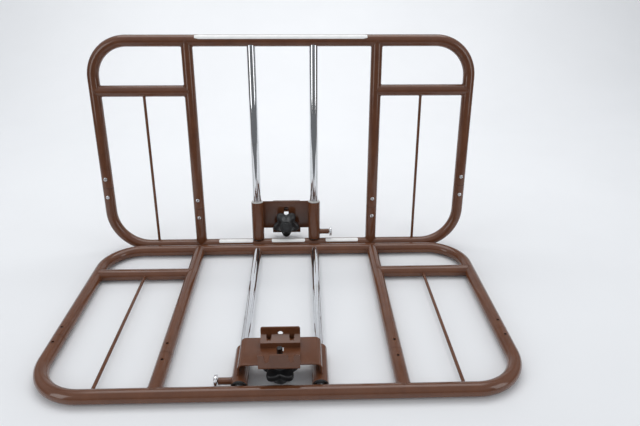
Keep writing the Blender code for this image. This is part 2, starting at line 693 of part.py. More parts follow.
def centre_on_floor(rails):
    """Moves the pair so that the origin is on the floor, under the middle of its bounds."""
    bpy.context.view_layer.update()
    solids = [item for item in bpy.data.objects if item.type == "MESH" and not item.hide_render]
    points = [item.matrix_world @ vertex.co for item in solids for vertex in item.data.vertices]
    low = Vector([min(point[k] for point in points) for k in range(3)])
    high = Vector([max(point[k] for point in points) for k in range(3)])
    shift = Vector((-(low.x + high.x) / 2, -(low.y + high.y) / 2, 0))
    for rail in rails:
        rail.location += shift


def main():
    for item in list(bpy.data.objects):
        bpy.data.objects.remove(item, do_unlink=True)
    looks = {
        "paint": material("brown_enamel", (0.085, 0.036, 0.02), 0.28, 0.0),
        "chrome": material("chrome", (0.78, 0.79, 0.8), 0.08, 1.0),
        "zinc": material("zinc_plate", (0.62, 0.63, 0.65), 0.3, 1.0),
        "nylon": material("grey_nylon", (0.5, 0.49, 0.47), 0.45, 0.0),
        "black nylon": material("black_nylon", (0.02, 0.02, 0.02), 0.5, 0.0),
        "plastic": material("black_plastic", (0.016, 0.017, 0.018), 0.42, 0.0),
    }
    material("guide", (0.5, 0.5, 0.5), 0.5, 0.0)
    lying_z = TUBE_R + GAP + RIVET_HEAD
    flat = build_rail("flat", looks, (0, 0, lying_z), (0, math.pi, 0), math.pi / KNOB_LOBES)
    behind = (0, TOP_Y + RAIL_SPACING, TUBE_R)
    standing = build_rail("standing", looks, behind, (math.pi / 2 - LEAN, 0, 0), 0)
    centre_on_floor([flat, standing])


main()
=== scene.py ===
# %% [markdown]
# # A pair of half-length bed guard rails
# One rail lies on the floor with its bed side up, and its twin stands behind it. A rail is a
# frame of bent steel tube in brown enamel. Two chrome posts in its middle carry a sliding
# carrier, and the clamp on the carrier grips a bed's side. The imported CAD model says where
# everything is. This lesson gives each piece the finish and the fine shape of the real one.

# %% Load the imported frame
import math

import bmesh
import bpy
from mathutils import Matrix, Vector


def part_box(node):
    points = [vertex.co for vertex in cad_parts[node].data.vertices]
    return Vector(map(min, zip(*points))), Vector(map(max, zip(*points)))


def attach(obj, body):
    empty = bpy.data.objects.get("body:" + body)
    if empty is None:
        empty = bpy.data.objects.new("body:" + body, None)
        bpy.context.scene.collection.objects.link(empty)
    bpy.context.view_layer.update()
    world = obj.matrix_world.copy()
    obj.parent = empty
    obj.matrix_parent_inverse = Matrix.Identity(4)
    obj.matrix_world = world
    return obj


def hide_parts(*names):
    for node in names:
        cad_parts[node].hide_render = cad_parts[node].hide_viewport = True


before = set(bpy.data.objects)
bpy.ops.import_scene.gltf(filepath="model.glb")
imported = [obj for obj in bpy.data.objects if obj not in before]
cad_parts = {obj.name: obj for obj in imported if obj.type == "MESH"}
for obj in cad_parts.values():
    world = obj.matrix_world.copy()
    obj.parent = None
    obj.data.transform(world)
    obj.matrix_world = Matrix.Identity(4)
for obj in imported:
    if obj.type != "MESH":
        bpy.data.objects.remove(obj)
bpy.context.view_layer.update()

# %% [markdown]
# ## Measuring the rail
# Both rails are the same part, so every piece is made once in the rail's own frame and then
# placed twice. In that frame X runs across the rail, Y runs up it from the bottom tube to the
# top tube, and +Z is the outer side. A distance towards the bed is called v, and v = -z. The
# sizes and both placements are read from the CAD model, so they can't drift away from it.

# %% Sizes read from the CAD model
MM = 0.001


def span(node, axis):
    low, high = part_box(node)
    return high[axis] - low[axis]


TUBE_R = span("flat_upper_bow", 2) / 2
HALF_WIDTH = span("flat_upper_bow", 0) / 2 - TUBE_R
foot_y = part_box("flat_lower_bow")[0].y + TUBE_R
TOP_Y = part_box("flat_upper_bow")[1].y - TUBE_R - foot_y
flat_z = sum(corner.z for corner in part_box("flat_upper_bow")) / 2
print(f"tube radius {TUBE_R / MM:.2f} mm, half width {HALF_WIDTH / MM:.1f}, height {TOP_Y / MM:.1f}")

# %% [markdown]
# The standing rail leans back a little. The slope of one of its posts gives the angle, and the
# middle of that post gives the place, because both ends of a post are the same.

# %% Where the two rails are


def middle(points):
    return sum(points, Vector()) / len(points)


def post_line(node):
    """The middle of a post and the direction in which it rises."""
    low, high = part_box(node)
    centre = (low + high) / 2
    points = [vertex.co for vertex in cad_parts[node].data.vertices]
    upper = middle([point for point in points if point.z > centre.z])
    lower = middle([point for point in points if point.z <= centre.z])
    return centre, (upper - lower).normalized()


post_middles = [middle(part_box(f"standing_post_{word}")) for word in ("left", "right")]
POST_X = (post_middles[1].x - post_middles[0].x) / 2
POST_R, SLEEVE_R, SLEEVE_LENGTH = (
    span("flat_post_left", 0) / 2, span("flat_sleeve_left", 0) / 2, span("flat_sleeve_left", 1)
)

post_middle, post_rise = post_line("standing_post_right")
lean = math.atan2(post_rise.y, post_rise.z)
upright = Matrix.Rotation(math.pi / 2 - lean, 4, "X")
standing_origin = post_middle - upright @ Vector((POST_X, TOP_Y / 2, 0))
PLACES = {
    "flat": Matrix.Translation((0, foot_y, flat_z)) @ Matrix.Rotation(math.pi, 4, "Y"),
    "standing": Matrix.Translation(standing_origin) @ upright,
}
print(f"lean {math.degrees(lean):.2f} degrees, standing rail starts at {standing_origin}")

# %% [markdown]
# The rest of the rail's sizes are the CAD model's own values, in millimetres on the real part.

# %% Sizes of the frame, the carrier and the clamp
BEND_UPPER, BEND_LOWER = 80.0 * MM, 88.0 * MM
UPRIGHT_X, BAR_Y = 208.5 * MM, TOP_Y - 108.0 * MM
ROD_X, ROD_R = 312.0 * MM, 3.175 * MM
LEG_SEAM, UPRIGHT_SEAM, SEAM_GAP = 150.0 * MM, 96.5 * MM, 0.6 * MM
RIVET_PITCH, RIVET_R = 44.0 * MM, 2.3 * MM
SLEEVE_Y = TUBE_R + 2.6 * MM
PLATE = 3.0 * MM
WEB_Y, WEB_HEIGHT, WEB_REACH = SLEEVE_Y + 12.0 * MM, span("flat_carrier_bridge", 1), 37.5 * MM
FLANGE_X = POST_X + 1.8 * MM
BOLT_Y, BOLT_R, SLOT_TRAVEL = WEB_Y + 19.0 * MM, 4.9 * MM, 31.2 * MM
HOOK_Y, FOOT_Y, JAW_WIDTH = WEB_Y + 58.8 * MM, WEB_Y - 15.8 * MM, span("flat_sliding_jaw", 0)
LATCH_Y, HOUSING_X = SLEEVE_Y + 15.5 * MM, POST_X + SLEEVE_R
print(f"web from y {WEB_Y / MM:.1f} to {(WEB_Y + WEB_HEIGHT) / MM:.1f} mm")

# %% [markdown]
# ## Placing a finished mesh
# A helper turns a mesh in the rail's frame into one object for each rail. The place goes into
# the mesh, so the object itself stays at the origin. It then rides on its CAD body and stands
# for the CAD nodes that it replaces. Normals are weighted by face area, which keeps flats flat
# beside small rounded edges.

# %% Helper: one mesh, two rails
made_triangles = 0


def weigh_normals(mesh):
    """Bakes area-weighted normals into a mesh."""
    carrier = bpy.data.objects.new("weighing", mesh)
    bpy.context.scene.collection.objects.link(carrier)
    step = carrier.modifiers.new("weigh", "WEIGHTED_NORMAL")
    step.mode, step.weight, step.keep_sharp = "FACE_AREA", 80, True
    return bake(carrier)


def bake(carrier):
    """The evaluated mesh of a helper object, which is then removed."""
    depsgraph = bpy.context.evaluated_depsgraph_get()
    mesh = bpy.data.meshes.new_from_object(carrier.evaluated_get(depsgraph))
    bpy.data.objects.remove(carrier)
    return mesh


def place(mesh, name, body, nodes, weigh=True, only=None):
    """Puts a mesh from the rail's frame on both rails, or on one; nodes have no prefix here."""
    global made_triangles
    source = weigh_normals(mesh) if weigh else mesh
    for prefix, matrix in PLACES.items():
        if only and prefix != only:
            continue
        copy = source.copy()
        copy.transform(matrix)
        piece = bpy.data.objects.new(f"{prefix}_{name}", copy)
        bpy.context.scene.collection.objects.link(piece)
        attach(piece, f"{prefix}_{body}")
        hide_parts(*[f"{prefix}_{node}" for node in nodes])
        made_triangles += sum(len(face.vertices) - 2 for face in copy.polygons)
    print(f"{name}: {len(source.polygons)} faces, triangles so far {made_triangles}")


# %% [markdown]
# ## Shared surface effects
# The enamel is a powder coat with a fine dark vein in it, sprayed on and baked. It flows out
# almost flat but keeps a faint orange peel. Chrome, zinc and plastic all pick up the same kind
# of fine unevenness. Effects that several finishes use are node groups with named sockets.

# %% Helper: node groups and materials


def new_group(name, inputs, outputs):
    """A shader node group: inputs are (name, type, default), outputs are (name, type)."""
    group = bpy.data.node_groups.new(name, "ShaderNodeTree")
    for label, kind, default in inputs:
        made = group.interface.new_socket(label, in_out="INPUT", socket_type=kind)
        if default is not None:
            made.default_value = default
    for label, kind in outputs:
        group.interface.new_socket(label, in_out="OUTPUT", socket_type=kind)
    return group, group.nodes.new("NodeGroupInput"), group.nodes.new("NodeGroupOutput")


def add_node(tree, kind, settings=None, values=None):
    """A node with its properties and the default values of its inputs set."""
    node = tree.nodes.new(kind)
    for key, value in (settings or {}).items():
        setattr(node, key, value)
    for key, value in (values or {}).items():
        node.inputs[key].default_value = value
    return node


def mix_colour(tree, factor, first, second):
    """A colour mix; first and second are sockets or RGBA tuples."""
    node = add_node(tree, "ShaderNodeMix", {"data_type": "RGBA"})
    tree.links.new(factor, node.inputs["Factor"])
    for socket, value in ((node.inputs[6], first), (node.inputs[7], second)):
        if isinstance(value, tuple):
            socket.default_value = value
        else:
            tree.links.new(value, socket)
    return node.outputs[2]


def ramp(tree, source, low, high, start=0.0, end=1.0):
    """Remaps a value from low..high to start..end, clamped."""
    node = add_node(tree, "ShaderNodeMapRange", values={1: low, 2: high, 3: start, 4: end})
    tree.links.new(source, node.inputs[0])
    return node.outputs[0]


def arith(tree, operation, first, second):
    node = add_node(tree, "ShaderNodeMath", {"operation": operation})
    for socket, value in zip(node.inputs, (first, second)):
        if isinstance(value, (int, float)):
            socket.default_value = value
        else:
            tree.links.new(value, socket)
    return node.outputs[0]


print("helpers ready")

# %% [markdown]
# Orange peel and casting texture are both a soft noise, seen only as a wobble in reflections.
# The group gives a height for a Bump node and a patchy value that can vary the roughness.

# %% Group: fine unevenness
peel, peel_in, peel_out = new_group(
    "fine_unevenness",
    [
        ("Vector", "NodeSocketVector", None),
        ("Grain Scale", "NodeSocketFloat", 400.0),
        ("Patch Scale", "NodeSocketFloat", 30.0),
    ],
    [("Height", "NodeSocketFloat"), ("Patches", "NodeSocketFloat")],
)
grain = add_node(peel, "ShaderNodeTexNoise", values={"Detail": 2.0, "Roughness": 0.5})
patch = add_node(peel, "ShaderNodeTexNoise", values={"Detail": 4.0, "Roughness": 0.6})
for noise, scale in ((grain, "Grain Scale"), (patch, "Patch Scale")):
    peel.links.new(peel_in.outputs["Vector"], noise.inputs["Vector"])
    peel.links.new(peel_in.outputs[scale], noise.inputs["Scale"])
peel.links.new(grain.outputs["Fac"], peel_out.inputs["Height"])
peel.links.new(ramp(peel, patch.outputs["Fac"], 0.3, 0.7), peel_out.inputs["Patches"])
print(peel.name, [item.name for item in peel.interface.items_tree])

# %% [markdown]
# The vein is a net of thin darker lines, a little over a millimetre apart. The distance to the
# edge of Voronoi cells draws such a net, and noise added to the coordinates bends it.

# %% Group: vein
vein, vein_in, vein_out = new_group(
    "enamel_vein",
    [
        ("Vector", "NodeSocketVector", None),
        ("Scale", "NodeSocketFloat", 850.0),
        ("Width", "NodeSocketFloat", 0.16),
    ],
    [("Veins", "NodeSocketFloat")],
)
bend = add_node(vein, "ShaderNodeTexNoise", values={"Scale": 300.0, "Detail": 2.0})
push = add_node(vein, "ShaderNodeVectorMath", {"operation": "SCALE"}, {"Scale": 0.004})
warped = add_node(vein, "ShaderNodeVectorMath", {"operation": "ADD"})
cells = add_node(vein, "ShaderNodeTexVoronoi", {"feature": "DISTANCE_TO_EDGE"})
vein.links.new(vein_in.outputs["Vector"], bend.inputs["Vector"])
vein.links.new(bend.outputs["Color"], push.inputs[0])
vein.links.new(vein_in.outputs["Vector"], warped.inputs[0])
vein.links.new(push.outputs[0], warped.inputs[1])
vein.links.new(warped.outputs[0], cells.inputs["Vector"])
vein.links.new(vein_in.outputs["Scale"], cells.inputs["Scale"])
near_edge = arith(vein, "DIVIDE", cells.outputs["Distance"], vein_in.outputs["Width"])
vein.links.new(ramp(vein, near_edge, 0.0, 1.0, 1.0, 0.0), vein_out.inputs["Veins"])
print(vein.name, "ready")

# %% [markdown]
# Dust and handling marks sit on top of everything: a few soft pale patches and fine scratches.
# The group returns a mask that lifts roughness and, on dark finishes, the colour.

# %% Group: handling marks
marks, marks_in, marks_out = new_group(
    "handling_marks",
    [
        ("Vector", "NodeSocketVector", None),
        ("Smudge Scale", "NodeSocketFloat", 18.0),
        ("Scratch Scale", "NodeSocketFloat", 160.0),
    ],
    [("Smudges", "NodeSocketFloat"), ("Scratches", "NodeSocketFloat")],
)
smudge = add_node(marks, "ShaderNodeTexNoise", values={"Detail": 6.0, "Roughness": 0.7})
stretch = add_node(marks, "ShaderNodeMapping", values={"Rotation": (0.3, 0.5, 0.9), "Scale": (1, 9, 3)})
scratch = add_node(marks, "ShaderNodeTexNoise", values={"Detail": 3.0, "Roughness": 0.8})
marks.links.new(marks_in.outputs["Vector"], smudge.inputs["Vector"])
marks.links.new(marks_in.outputs["Smudge Scale"], smudge.inputs["Scale"])
marks.links.new(marks_in.outputs["Vector"], stretch.inputs["Vector"])
marks.links.new(stretch.outputs[0], scratch.inputs["Vector"])
marks.links.new(marks_in.outputs["Scratch Scale"], scratch.inputs["Scale"])
marks.links.new(ramp(marks, smudge.outputs["Fac"], 0.52, 0.78), marks_out.inputs["Smudges"])
marks.links.new(ramp(marks, scratch.outputs["Fac"], 0.66, 0.72), marks_out.inputs["Scratches"])
print(marks.name, "ready")

# %% [markdown]
# ## Finishes
# A finish is one material with the Principled shader in it. Each starts from the same small
# set-up: object coordinates, the fine unevenness as bump, and the shader. Constants such as
# the coat's roughness are set on the shader's own sockets.

# %% Helper: start a finish


def start_finish(name, grain_scale, bump, constants, patch_scale=30.0):
    """A material with coordinates and bump wired; returns what the finish builds on."""
    made = bpy.data.materials.new(name)
    made.use_nodes = True
    tree = made.node_tree
    shader = tree.nodes["Principled BSDF"]
    for key, value in constants.items():
        shader.inputs[key].default_value = value
    where = tree.nodes.new("ShaderNodeTexCoord").outputs["Object"]
    uneven = add_node(tree, "ShaderNodeGroup", {"node_tree": peel})
    uneven.inputs["Grain Scale"].default_value = grain_scale
    uneven.inputs["Patch Scale"].default_value = patch_scale
    tree.links.new(where, uneven.inputs["Vector"])
    bumper = add_node(tree, "ShaderNodeBump", values={"Strength": bump, "Distance": 0.0002})
    tree.links.new(uneven.outputs["Height"], bumper.inputs["Height"])
    tree.links.new(bumper.outputs["Normal"], shader.inputs["Normal"])
    return made, tree, shader, where, uneven


def use_marks(tree, where, smudge_scale=18.0, scratch_scale=160.0):
    node = add_node(tree, "ShaderNodeGroup", {"node_tree": marks})
    node.inputs["Smudge Scale"].default_value = smudge_scale
    node.inputs["Scratch Scale"].default_value = scratch_scale
    tree.links.new(where, node.inputs["Vector"])
    return node


print("finish helper ready")

# %% [markdown]
# Brown enamel: a deep red-brown base under a clear glossy coat. The veins are darker, patches
# shift the hue slightly, and dust dulls it a little.

# %% Brown enamel
ENAMEL_LIGHT, ENAMEL_DEEP = (0.150, 0.055, 0.024, 1.0), (0.115, 0.040, 0.017, 1.0)
ENAMEL_VEIN, DUST = (0.052, 0.018, 0.0085, 1.0), (0.24, 0.19, 0.16, 1.0)
enamel, tree, shader, where, uneven = start_finish(
    "brown_vein_enamel", 260.0, 0.1, {"Coat Weight": 0.15, "Coat Roughness": 0.05, "IOR": 1.48}
)
veins = add_node(tree, "ShaderNodeGroup", {"node_tree": vein})
tree.links.new(where, veins.inputs["Vector"])
body_colour = mix_colour(tree, uneven.outputs["Patches"], ENAMEL_DEEP, ENAMEL_LIGHT)
vein_share = arith(tree, "MULTIPLY", veins.outputs["Veins"], 0.35)
veined = mix_colour(tree, vein_share, body_colour, ENAMEL_VEIN)
used = use_marks(tree, where)
dusty = mix_colour(tree, arith(tree, "MULTIPLY", used.outputs["Smudges"], 0.04), veined, DUST)
tree.links.new(dusty, shader.inputs["Base Color"])
rough = ramp(tree, used.outputs["Smudges"], 0.0, 1.0, 0.15, 0.28)
tree.links.new(rough, shader.inputs["Roughness"])
print(enamel.name, "ready")

# %% [markdown]
# Chrome: bright plating on the posts and the pull pin. Long streaks of slightly dull metal run
# through it where the carrier has slid up and down, so the roughness follows the scratches.

# %% Chrome
chrome, tree, shader, where, uneven = start_finish(
    "chrome_plate", 120.0, 0.03, {"Base Color": (0.74, 0.75, 0.77, 1.0), "Metallic": 1.0}
)
used = use_marks(tree, where, 25.0, 240.0)
haze = arith(tree, "MAXIMUM", used.outputs["Smudges"], used.outputs["Scratches"])
tree.links.new(ramp(tree, haze, 0.0, 1.0, 0.045, 0.16), shader.inputs["Roughness"])
tint = mix_colour(tree, haze, (0.76, 0.77, 0.79, 1.0), (0.62, 0.62, 0.62, 1.0))
tree.links.new(tint, shader.inputs["Base Color"])
print(chrome.name, "ready")

# %% [markdown]
# Zinc: the bolt, its washer, the rivets, the splice tubes and the spring. Zinc plate is grey
# and slightly crystalline, so its colour and roughness vary in small patches.

# %% Zinc plate
zinc, tree, shader, where, uneven = start_finish(
    "zinc_plate_bright", 700.0, 0.15, {"Metallic": 1.0}, patch_scale=300.0
)
grey = mix_colour(tree, uneven.outputs["Patches"], (0.5, 0.5, 0.51, 1.0), (0.72, 0.72, 0.72, 1.0))
tree.links.new(grey, shader.inputs["Base Color"])
used = use_marks(tree, where, 60.0, 400.0)
tree.links.new(ramp(tree, used.outputs["Smudges"], 0, 1, 0.24, 0.42), shader.inputs["Roughness"])
print(zinc.name, "ready")

# %% [markdown]
# Bolt head: a near-black metal whose dark colour is painted shade, for the dark cavity between
# the jaws where the head sits, in place of the zinc of the shank. It stays metallic, so it is
# nearly black face on and bright where it mirrors a lamp.

# %% Bolt head metal, painted shade
bolt_head_shade_metal, tree, shader, where, uneven = start_finish(
    "black_oxide_steel", 900.0, 0.2, {"Metallic": 1.0}, patch_scale=200.0
)
# Two near-black tones in random patches; the darkness is painted shade for the cavity the head sits in.
painted_shade_tone = mix_colour(tree, uneven.outputs["Patches"], (0.06, 0.06, 0.062, 1.0), (0.11, 0.11, 0.11, 1.0))
tree.links.new(painted_shade_tone, shader.inputs["Base Color"])
used = use_marks(tree, where, 80.0, 500.0)
tree.links.new(ramp(tree, used.outputs["Smudges"], 0, 1, 0.2, 0.36), shader.inputs["Roughness"])
print(bolt_head_shade_metal.name, "ready")

# %% [markdown]
# Label film: glossy white vinyl. It is never quite flat on a tube, so a slow swell runs through
# it, and fingers have left it a little duller in places.

# %% Label film
film, tree, shader, where, uneven = start_finish(
    "white_label_film", 45.0, 0.25, {"IOR": 1.48}, patch_scale=60.0
)
paper = mix_colour(tree, uneven.outputs["Patches"], (0.78, 0.78, 0.77, 1.0), (0.86, 0.86, 0.85, 1.0))
tree.links.new(paper, shader.inputs["Base Color"])
used = use_marks(tree, where, 35.0, 300.0)
tree.links.new(ramp(tree, used.outputs["Smudges"], 0, 1, 0.22, 0.4), shader.inputs["Roughness"])
print(film.name, "ready")

# %% [markdown]
# Plastics: the knob is moulded nylon with a spark-eroded texture, worn smoother on the lobes.
# The bushes are plain grey and black nylon, and the lower ones are oiled and shine.

# %% Moulded plastics


def moulded(name, dark, light, grain_scale, bump, low_rough, high_rough):
    made, tree, shader, where, uneven = start_finish(name, grain_scale, bump, {"IOR": 1.5}, 120.0)
    colour = mix_colour(tree, uneven.outputs["Patches"], dark, light)
    used = use_marks(tree, where, 40.0, 300.0)
    scuffed = mix_colour(tree, arith(tree, "MULTIPLY", used.outputs["Scratches"], 0.3), colour,
                         tuple(min(1.0, 3 * c) for c in light[:3]) + (1.0,))
    tree.links.new(scuffed, shader.inputs["Base Color"])
    rough = ramp(tree, used.outputs["Smudges"], 0, 1, low_rough, high_rough)
    tree.links.new(rough, shader.inputs["Roughness"])
    return made


black = moulded("black_moulded_nylon", (0.012, 0.012, 0.013, 1), (0.02, 0.021, 0.022, 1),
                1100.0, 0.5, 0.38, 0.55)
dark_bush = moulded("black_bush_nylon", (0.01, 0.01, 0.01, 1), (0.018, 0.018, 0.018, 1),
                    300.0, 0.1, 0.22, 0.4)
grey_bush = moulded("grey_bush_nylon", (0.42, 0.41, 0.39, 1), (0.55, 0.54, 0.52, 1),
                    500.0, 0.15, 0.35, 0.5)
print("plastics ready")

# %% [markdown]
# ## Bent tube
# The frame is made by a tube bender: straight runs joined by arcs of one radius, all with the
# same section. That is a rule, so one Geometry Nodes tree makes every tube. It takes a line of
# corner points, rounds the corners with Fillet Curve and sweeps a circle along the result. A
# Solidify modifier then gives the tube its wall, and a Bevel breaks its cut ends.

# %% Helpers for Geometry Nodes


def new_shape_tree(name, inputs):
    """A Geometry Nodes tree with a geometry in, a geometry out and named inputs."""
    group = bpy.data.node_groups.new(name, "GeometryNodeTree")
    group.interface.new_socket("Geometry", in_out="INPUT", socket_type="NodeSocketGeometry")
    for label, kind, default in inputs:
        made = group.interface.new_socket(label, in_out="INPUT", socket_type=kind)
        if default is not None:
            made.default_value = default
    group.interface.new_socket("Geometry", in_out="OUTPUT", socket_type="NodeSocketGeometry")
    return group, group.nodes.new("NodeGroupInput"), group.nodes.new("NodeGroupOutput")


def finish_tree(group, geometry, given, out):
    """Ends a tree in Realize Instances and Set Material."""
    real = group.nodes.new("GeometryNodeRealizeInstances")
    paint = group.nodes.new("GeometryNodeSetMaterial")
    group.links.new(geometry, real.inputs[0])
    group.links.new(real.outputs[0], paint.inputs["Geometry"])
    group.links.new(given.outputs["Finish"], paint.inputs["Material"])
    group.links.new(paint.outputs[0], out.inputs[0])


def grown(group, points, edges, values, after=()):
    """Runs a tree on a line mesh; after lists (modifier type, settings) that follow it."""
    line = bpy.data.meshes.new(group.name)
    line.from_pydata([tuple(point) for point in points], edges, [])
    carrier = bpy.data.objects.new(group.name, line)
    bpy.context.scene.collection.objects.link(carrier)
    step = carrier.modifiers.new(group.name, "NODES")
    step.node_group = group
    identifiers = {
        item.name: item.identifier
        for item in group.interface.items_tree
        if item.item_type == "SOCKET" and item.in_out == "INPUT"
    }
    for label, value in values.items():
        step[identifiers[label]] = value
    for kind, settings in after:
        extra = carrier.modifiers.new(kind.lower(), kind)
        for key, value in settings.items():
            setattr(extra, key, value)
    return bake(carrier)


def chain(count, closed=False):
    """Edges that join points 0, 1, 2 ... in a line or a loop."""
    return [(k, (k + 1) % count) for k in range(count if closed else count - 1)]


print("tree helpers ready")

# %% Tree: bent tube
bender, given, out = new_shape_tree(
    "bent_tube",
    [
        ("Bend Radius", "NodeSocketFloat", BEND_UPPER),
        ("Bend Steps", "NodeSocketInt", 20),
        ("Tube Radius", "NodeSocketFloat", TUBE_R),
        ("Sides", "NodeSocketInt", 48),
        ("Finish", "NodeSocketMaterial", None),
    ],
)
path = bender.nodes.new("GeometryNodeMeshToCurve")
fillet = bender.nodes.new("GeometryNodeFilletCurve")
fillet.mode = "POLY"
circle = bender.nodes.new("GeometryNodeCurvePrimitiveCircle")
sweep = bender.nodes.new("GeometryNodeCurveToMesh")
bender.links.new(given.outputs["Geometry"], path.inputs["Mesh"])
bender.links.new(path.outputs["Curve"], fillet.inputs["Curve"])
bender.links.new(given.outputs["Bend Radius"], fillet.inputs["Radius"])
bender.links.new(given.outputs["Bend Steps"], fillet.inputs["Count"])
bender.links.new(given.outputs["Sides"], circle.inputs["Resolution"])
bender.links.new(given.outputs["Tube Radius"], circle.inputs["Radius"])
bender.links.new(fillet.outputs["Curve"], sweep.inputs["Curve"])
bender.links.new(circle.outputs["Curve"], sweep.inputs["Profile Curve"])
finish_tree(bender, sweep.outputs["Mesh"], given, out)
print(bender.name, "has", len(bender.nodes), "nodes")

# %% [markdown]
# Blind rivets need holes through the bed side of each tube, and the hole shows as a small dark
# spot. A real cut is best, because it catches the light on its rim from any side. A Boolean
# modifier makes it, with a short cylinder as the cutter.

# %% Helper: a tube with wall, broken edges and rivet holes
cutters = []


def disc_cutter(x, y, low_z, high_z, radius, sides=24):
    """An upright cylinder for a Boolean, hidden from every render."""
    bm = bmesh.new()
    turn = Matrix.Translation((x, y, (low_z + high_z) / 2))
    bmesh.ops.create_cone(bm, cap_ends=True, segments=sides, radius1=radius, radius2=radius,
                          depth=high_z - low_z, matrix=turn)
    return as_cutter(bm)


def as_cutter(bm):
    mesh = bpy.data.meshes.new("cutter")
    bmesh.ops.recalc_face_normals(bm, faces=bm.faces)
    bm.to_mesh(mesh)
    bm.free()
    made = bpy.data.objects.new("cutter", mesh)
    bpy.context.scene.collection.objects.link(made)
    made.hide_render = True
    cutters.append(made)
    return made


def cut_by(tool):
    return ("BOOLEAN", {"operation": "DIFFERENCE", "solver": "EXACT", "object": tool})


def tube(corners, radius, wall, finish, bend_r=0.0, sides=48, steps=20, holes=(), edge=0.25 * MM):
    """A bent tube through the corner points, as a plain mesh with its wall."""
    after = [("SOLIDIFY", {"thickness": wall, "offset": -1.0, "use_even_offset": True})]
    after.append(("BEVEL", {"width": edge, "segments": 2, "angle_limit": math.radians(60)}))
    after += [cut_by(tool) for tool in holes]
    values = {"Bend Radius": bend_r, "Bend Steps": steps, "Tube Radius": radius, "Sides": sides,
              "Finish": finish}
    mesh = grown(bender, corners, chain(len(corners)), values, after)
    mesh.shade_smooth()
    mesh.set_sharp_from_angle(angle=math.radians(50))
    return mesh


def merge(meshes):
    """Several meshes with one finish as one mesh."""
    bm = bmesh.new()
    for mesh in meshes:
        bm.from_mesh(mesh)
    made = bpy.data.meshes.new("merged")
    bm.to_mesh(made)
    bm.free()
    made.materials.append(meshes[0].materials[0])
    return made


print("tube helper ready")

# %% [markdown]
# ## The frame
# Two bows make the outline. The upper one is an upside-down U and the lower one an upright U,
# and they meet at a seam on each leg, where an inner tube and two blind rivets hold them. The
# two inner uprights are split in the same way lower down.

# %% Bows
TUBE_WALL = 1.2 * MM
HOLE_TOP = -TUBE_R * 0.5


def back_hole(x, y):
    return disc_cutter(x, y, -1.5 * TUBE_R, HOLE_TOP, RIVET_R + 0.3 * MM)


half_seam = SEAM_GAP / 2
for word, level, seam, radius in (
    ("upper", TOP_Y, LEG_SEAM + half_seam, BEND_UPPER),
    ("lower", 0.0, LEG_SEAM - half_seam, BEND_LOWER),
):
    corners = [(-HALF_WIDTH, seam, 0), (-HALF_WIDTH, level, 0), (HALF_WIDTH, level, 0),
               (HALF_WIDTH, seam, 0)]
    step = RIVET_PITCH / 2 if word == "upper" else -RIVET_PITCH / 2
    holes = [back_hole(side * HALF_WIDTH, LEG_SEAM + step) for side in (-1, 1)]
    bow = tube(corners, TUBE_R, TUBE_WALL, enamel, radius, holes=holes, steps=24)
    place(bow, f"{word}_bow_tube", "frame", [f"{word}_bow"])

# %% [markdown]
# Each upright runs into the tube that it is welded to. Its end is hidden inside that tube, so
# it needs no fish mouth here. The cross bars do the same at both ends.

# %% Uprights and cross bars
for side, word in ((-1, "left"), (1, "right")):
    x = side * UPRIGHT_X
    for level, half, step in (
        (TOP_Y, "upper", RIVET_PITCH / 2), (0.0, "lower", -RIVET_PITCH / 2),
    ):
        seam = UPRIGHT_SEAM + (half_seam if half == "upper" else -half_seam)
        post = tube([(x, seam, 0), (x, level, 0)], TUBE_R - 0.05 * MM, TUBE_WALL, enamel,
                    holes=[back_hole(x, UPRIGHT_SEAM + step)])
        place(post, f"{half}_upright_tube_{word}", "frame", [f"{half}_upright_{word}"])
    bar = tube([(x, BAR_Y, 0), (side * HALF_WIDTH, BAR_Y, 0)], TUBE_R - 0.05 * MM, TUBE_WALL, enamel)
    place(bar, f"cross_bar_tube_{word}", "frame", [f"cross_bar_{word}"])

# %% [markdown]
# The filler rods are solid drawn wire. They are too thin for a wall, so the same tree makes
# them with a wall as thick as their radius allows. The posts are chrome tube.

# %% Rods and posts
for side, word in ((-1, "left"), (1, "right")):
    rod = tube([(side * ROD_X, 0, 0), (side * ROD_X, BAR_Y, 0)], ROD_R, ROD_R * 0.6, enamel,
               sides=20)
    place(rod, f"filler_rod_{word}", "frame", [f"rod_{word}"])
    post = tube([(side * POST_X, 0, 0), (side * POST_X, TOP_Y, 0)], POST_R, 1.5 * MM, chrome,
                sides=40)
    place(post, f"chrome_post_{word}", "frame", [f"post_{word}"])

# %% [markdown]
# ## Rivets and splices
# A blind rivet leaves a domed ring on the outer side, with a pit where its mandrel broke off.
# There are eight on each rail, all alike, so Geometry Nodes sets one rivet on each point and
# turns it by a random amount.

# %% Helper: turned parts


def soften(profile, radius, steps=4):
    """Rounds the corners of a line of (r, z) points by up to radius."""
    softened = [Vector(profile[0])]
    for before, here, after in zip(profile, profile[1:], profile[2:]):
        before, here, after = Vector(before), Vector(here), Vector(after)
        back, ahead = before - here, after - here
        start = here + back.normalized() * min(radius, back.length * 0.45)
        end = here + ahead.normalized() * min(radius, ahead.length * 0.45)
        for k in range(steps + 1):
            t = k / steps
            softened.append((1 - t) ** 2 * start + 2 * t * (1 - t) * here + t * t * end)
    softened.append(Vector(profile[-1]))
    return softened


def turned(profile, finish, sides=48, matrix=None, closed=False):
    """A body turned about its Z from (radius, height) points; ends on the axis are closed."""
    bm = bmesh.new()
    rings = []
    for radius, height in profile:
        if radius < 1e-7:
            rings.append([bm.verts.new((0, 0, height))])
            continue
        turn = [2 * math.pi * k / sides for k in range(sides)]
        rings.append([bm.verts.new((radius * math.cos(a), radius * math.sin(a), height))
                      for a in turn])
    pairs = list(zip(rings, rings[1:])) + ([(rings[-1], rings[0])] if closed else [])
    for first, second in pairs:
        for k in range(sides):
            after = (k + 1) % sides
            corners = [first[k % len(first)], first[after % len(first)],
                       second[after % len(second)], second[k % len(second)]]
            unique = list(dict.fromkeys(corners))
            if len(unique) > 2:
                bm.faces.new(unique)
    return closed_mesh(bm, finish, matrix)


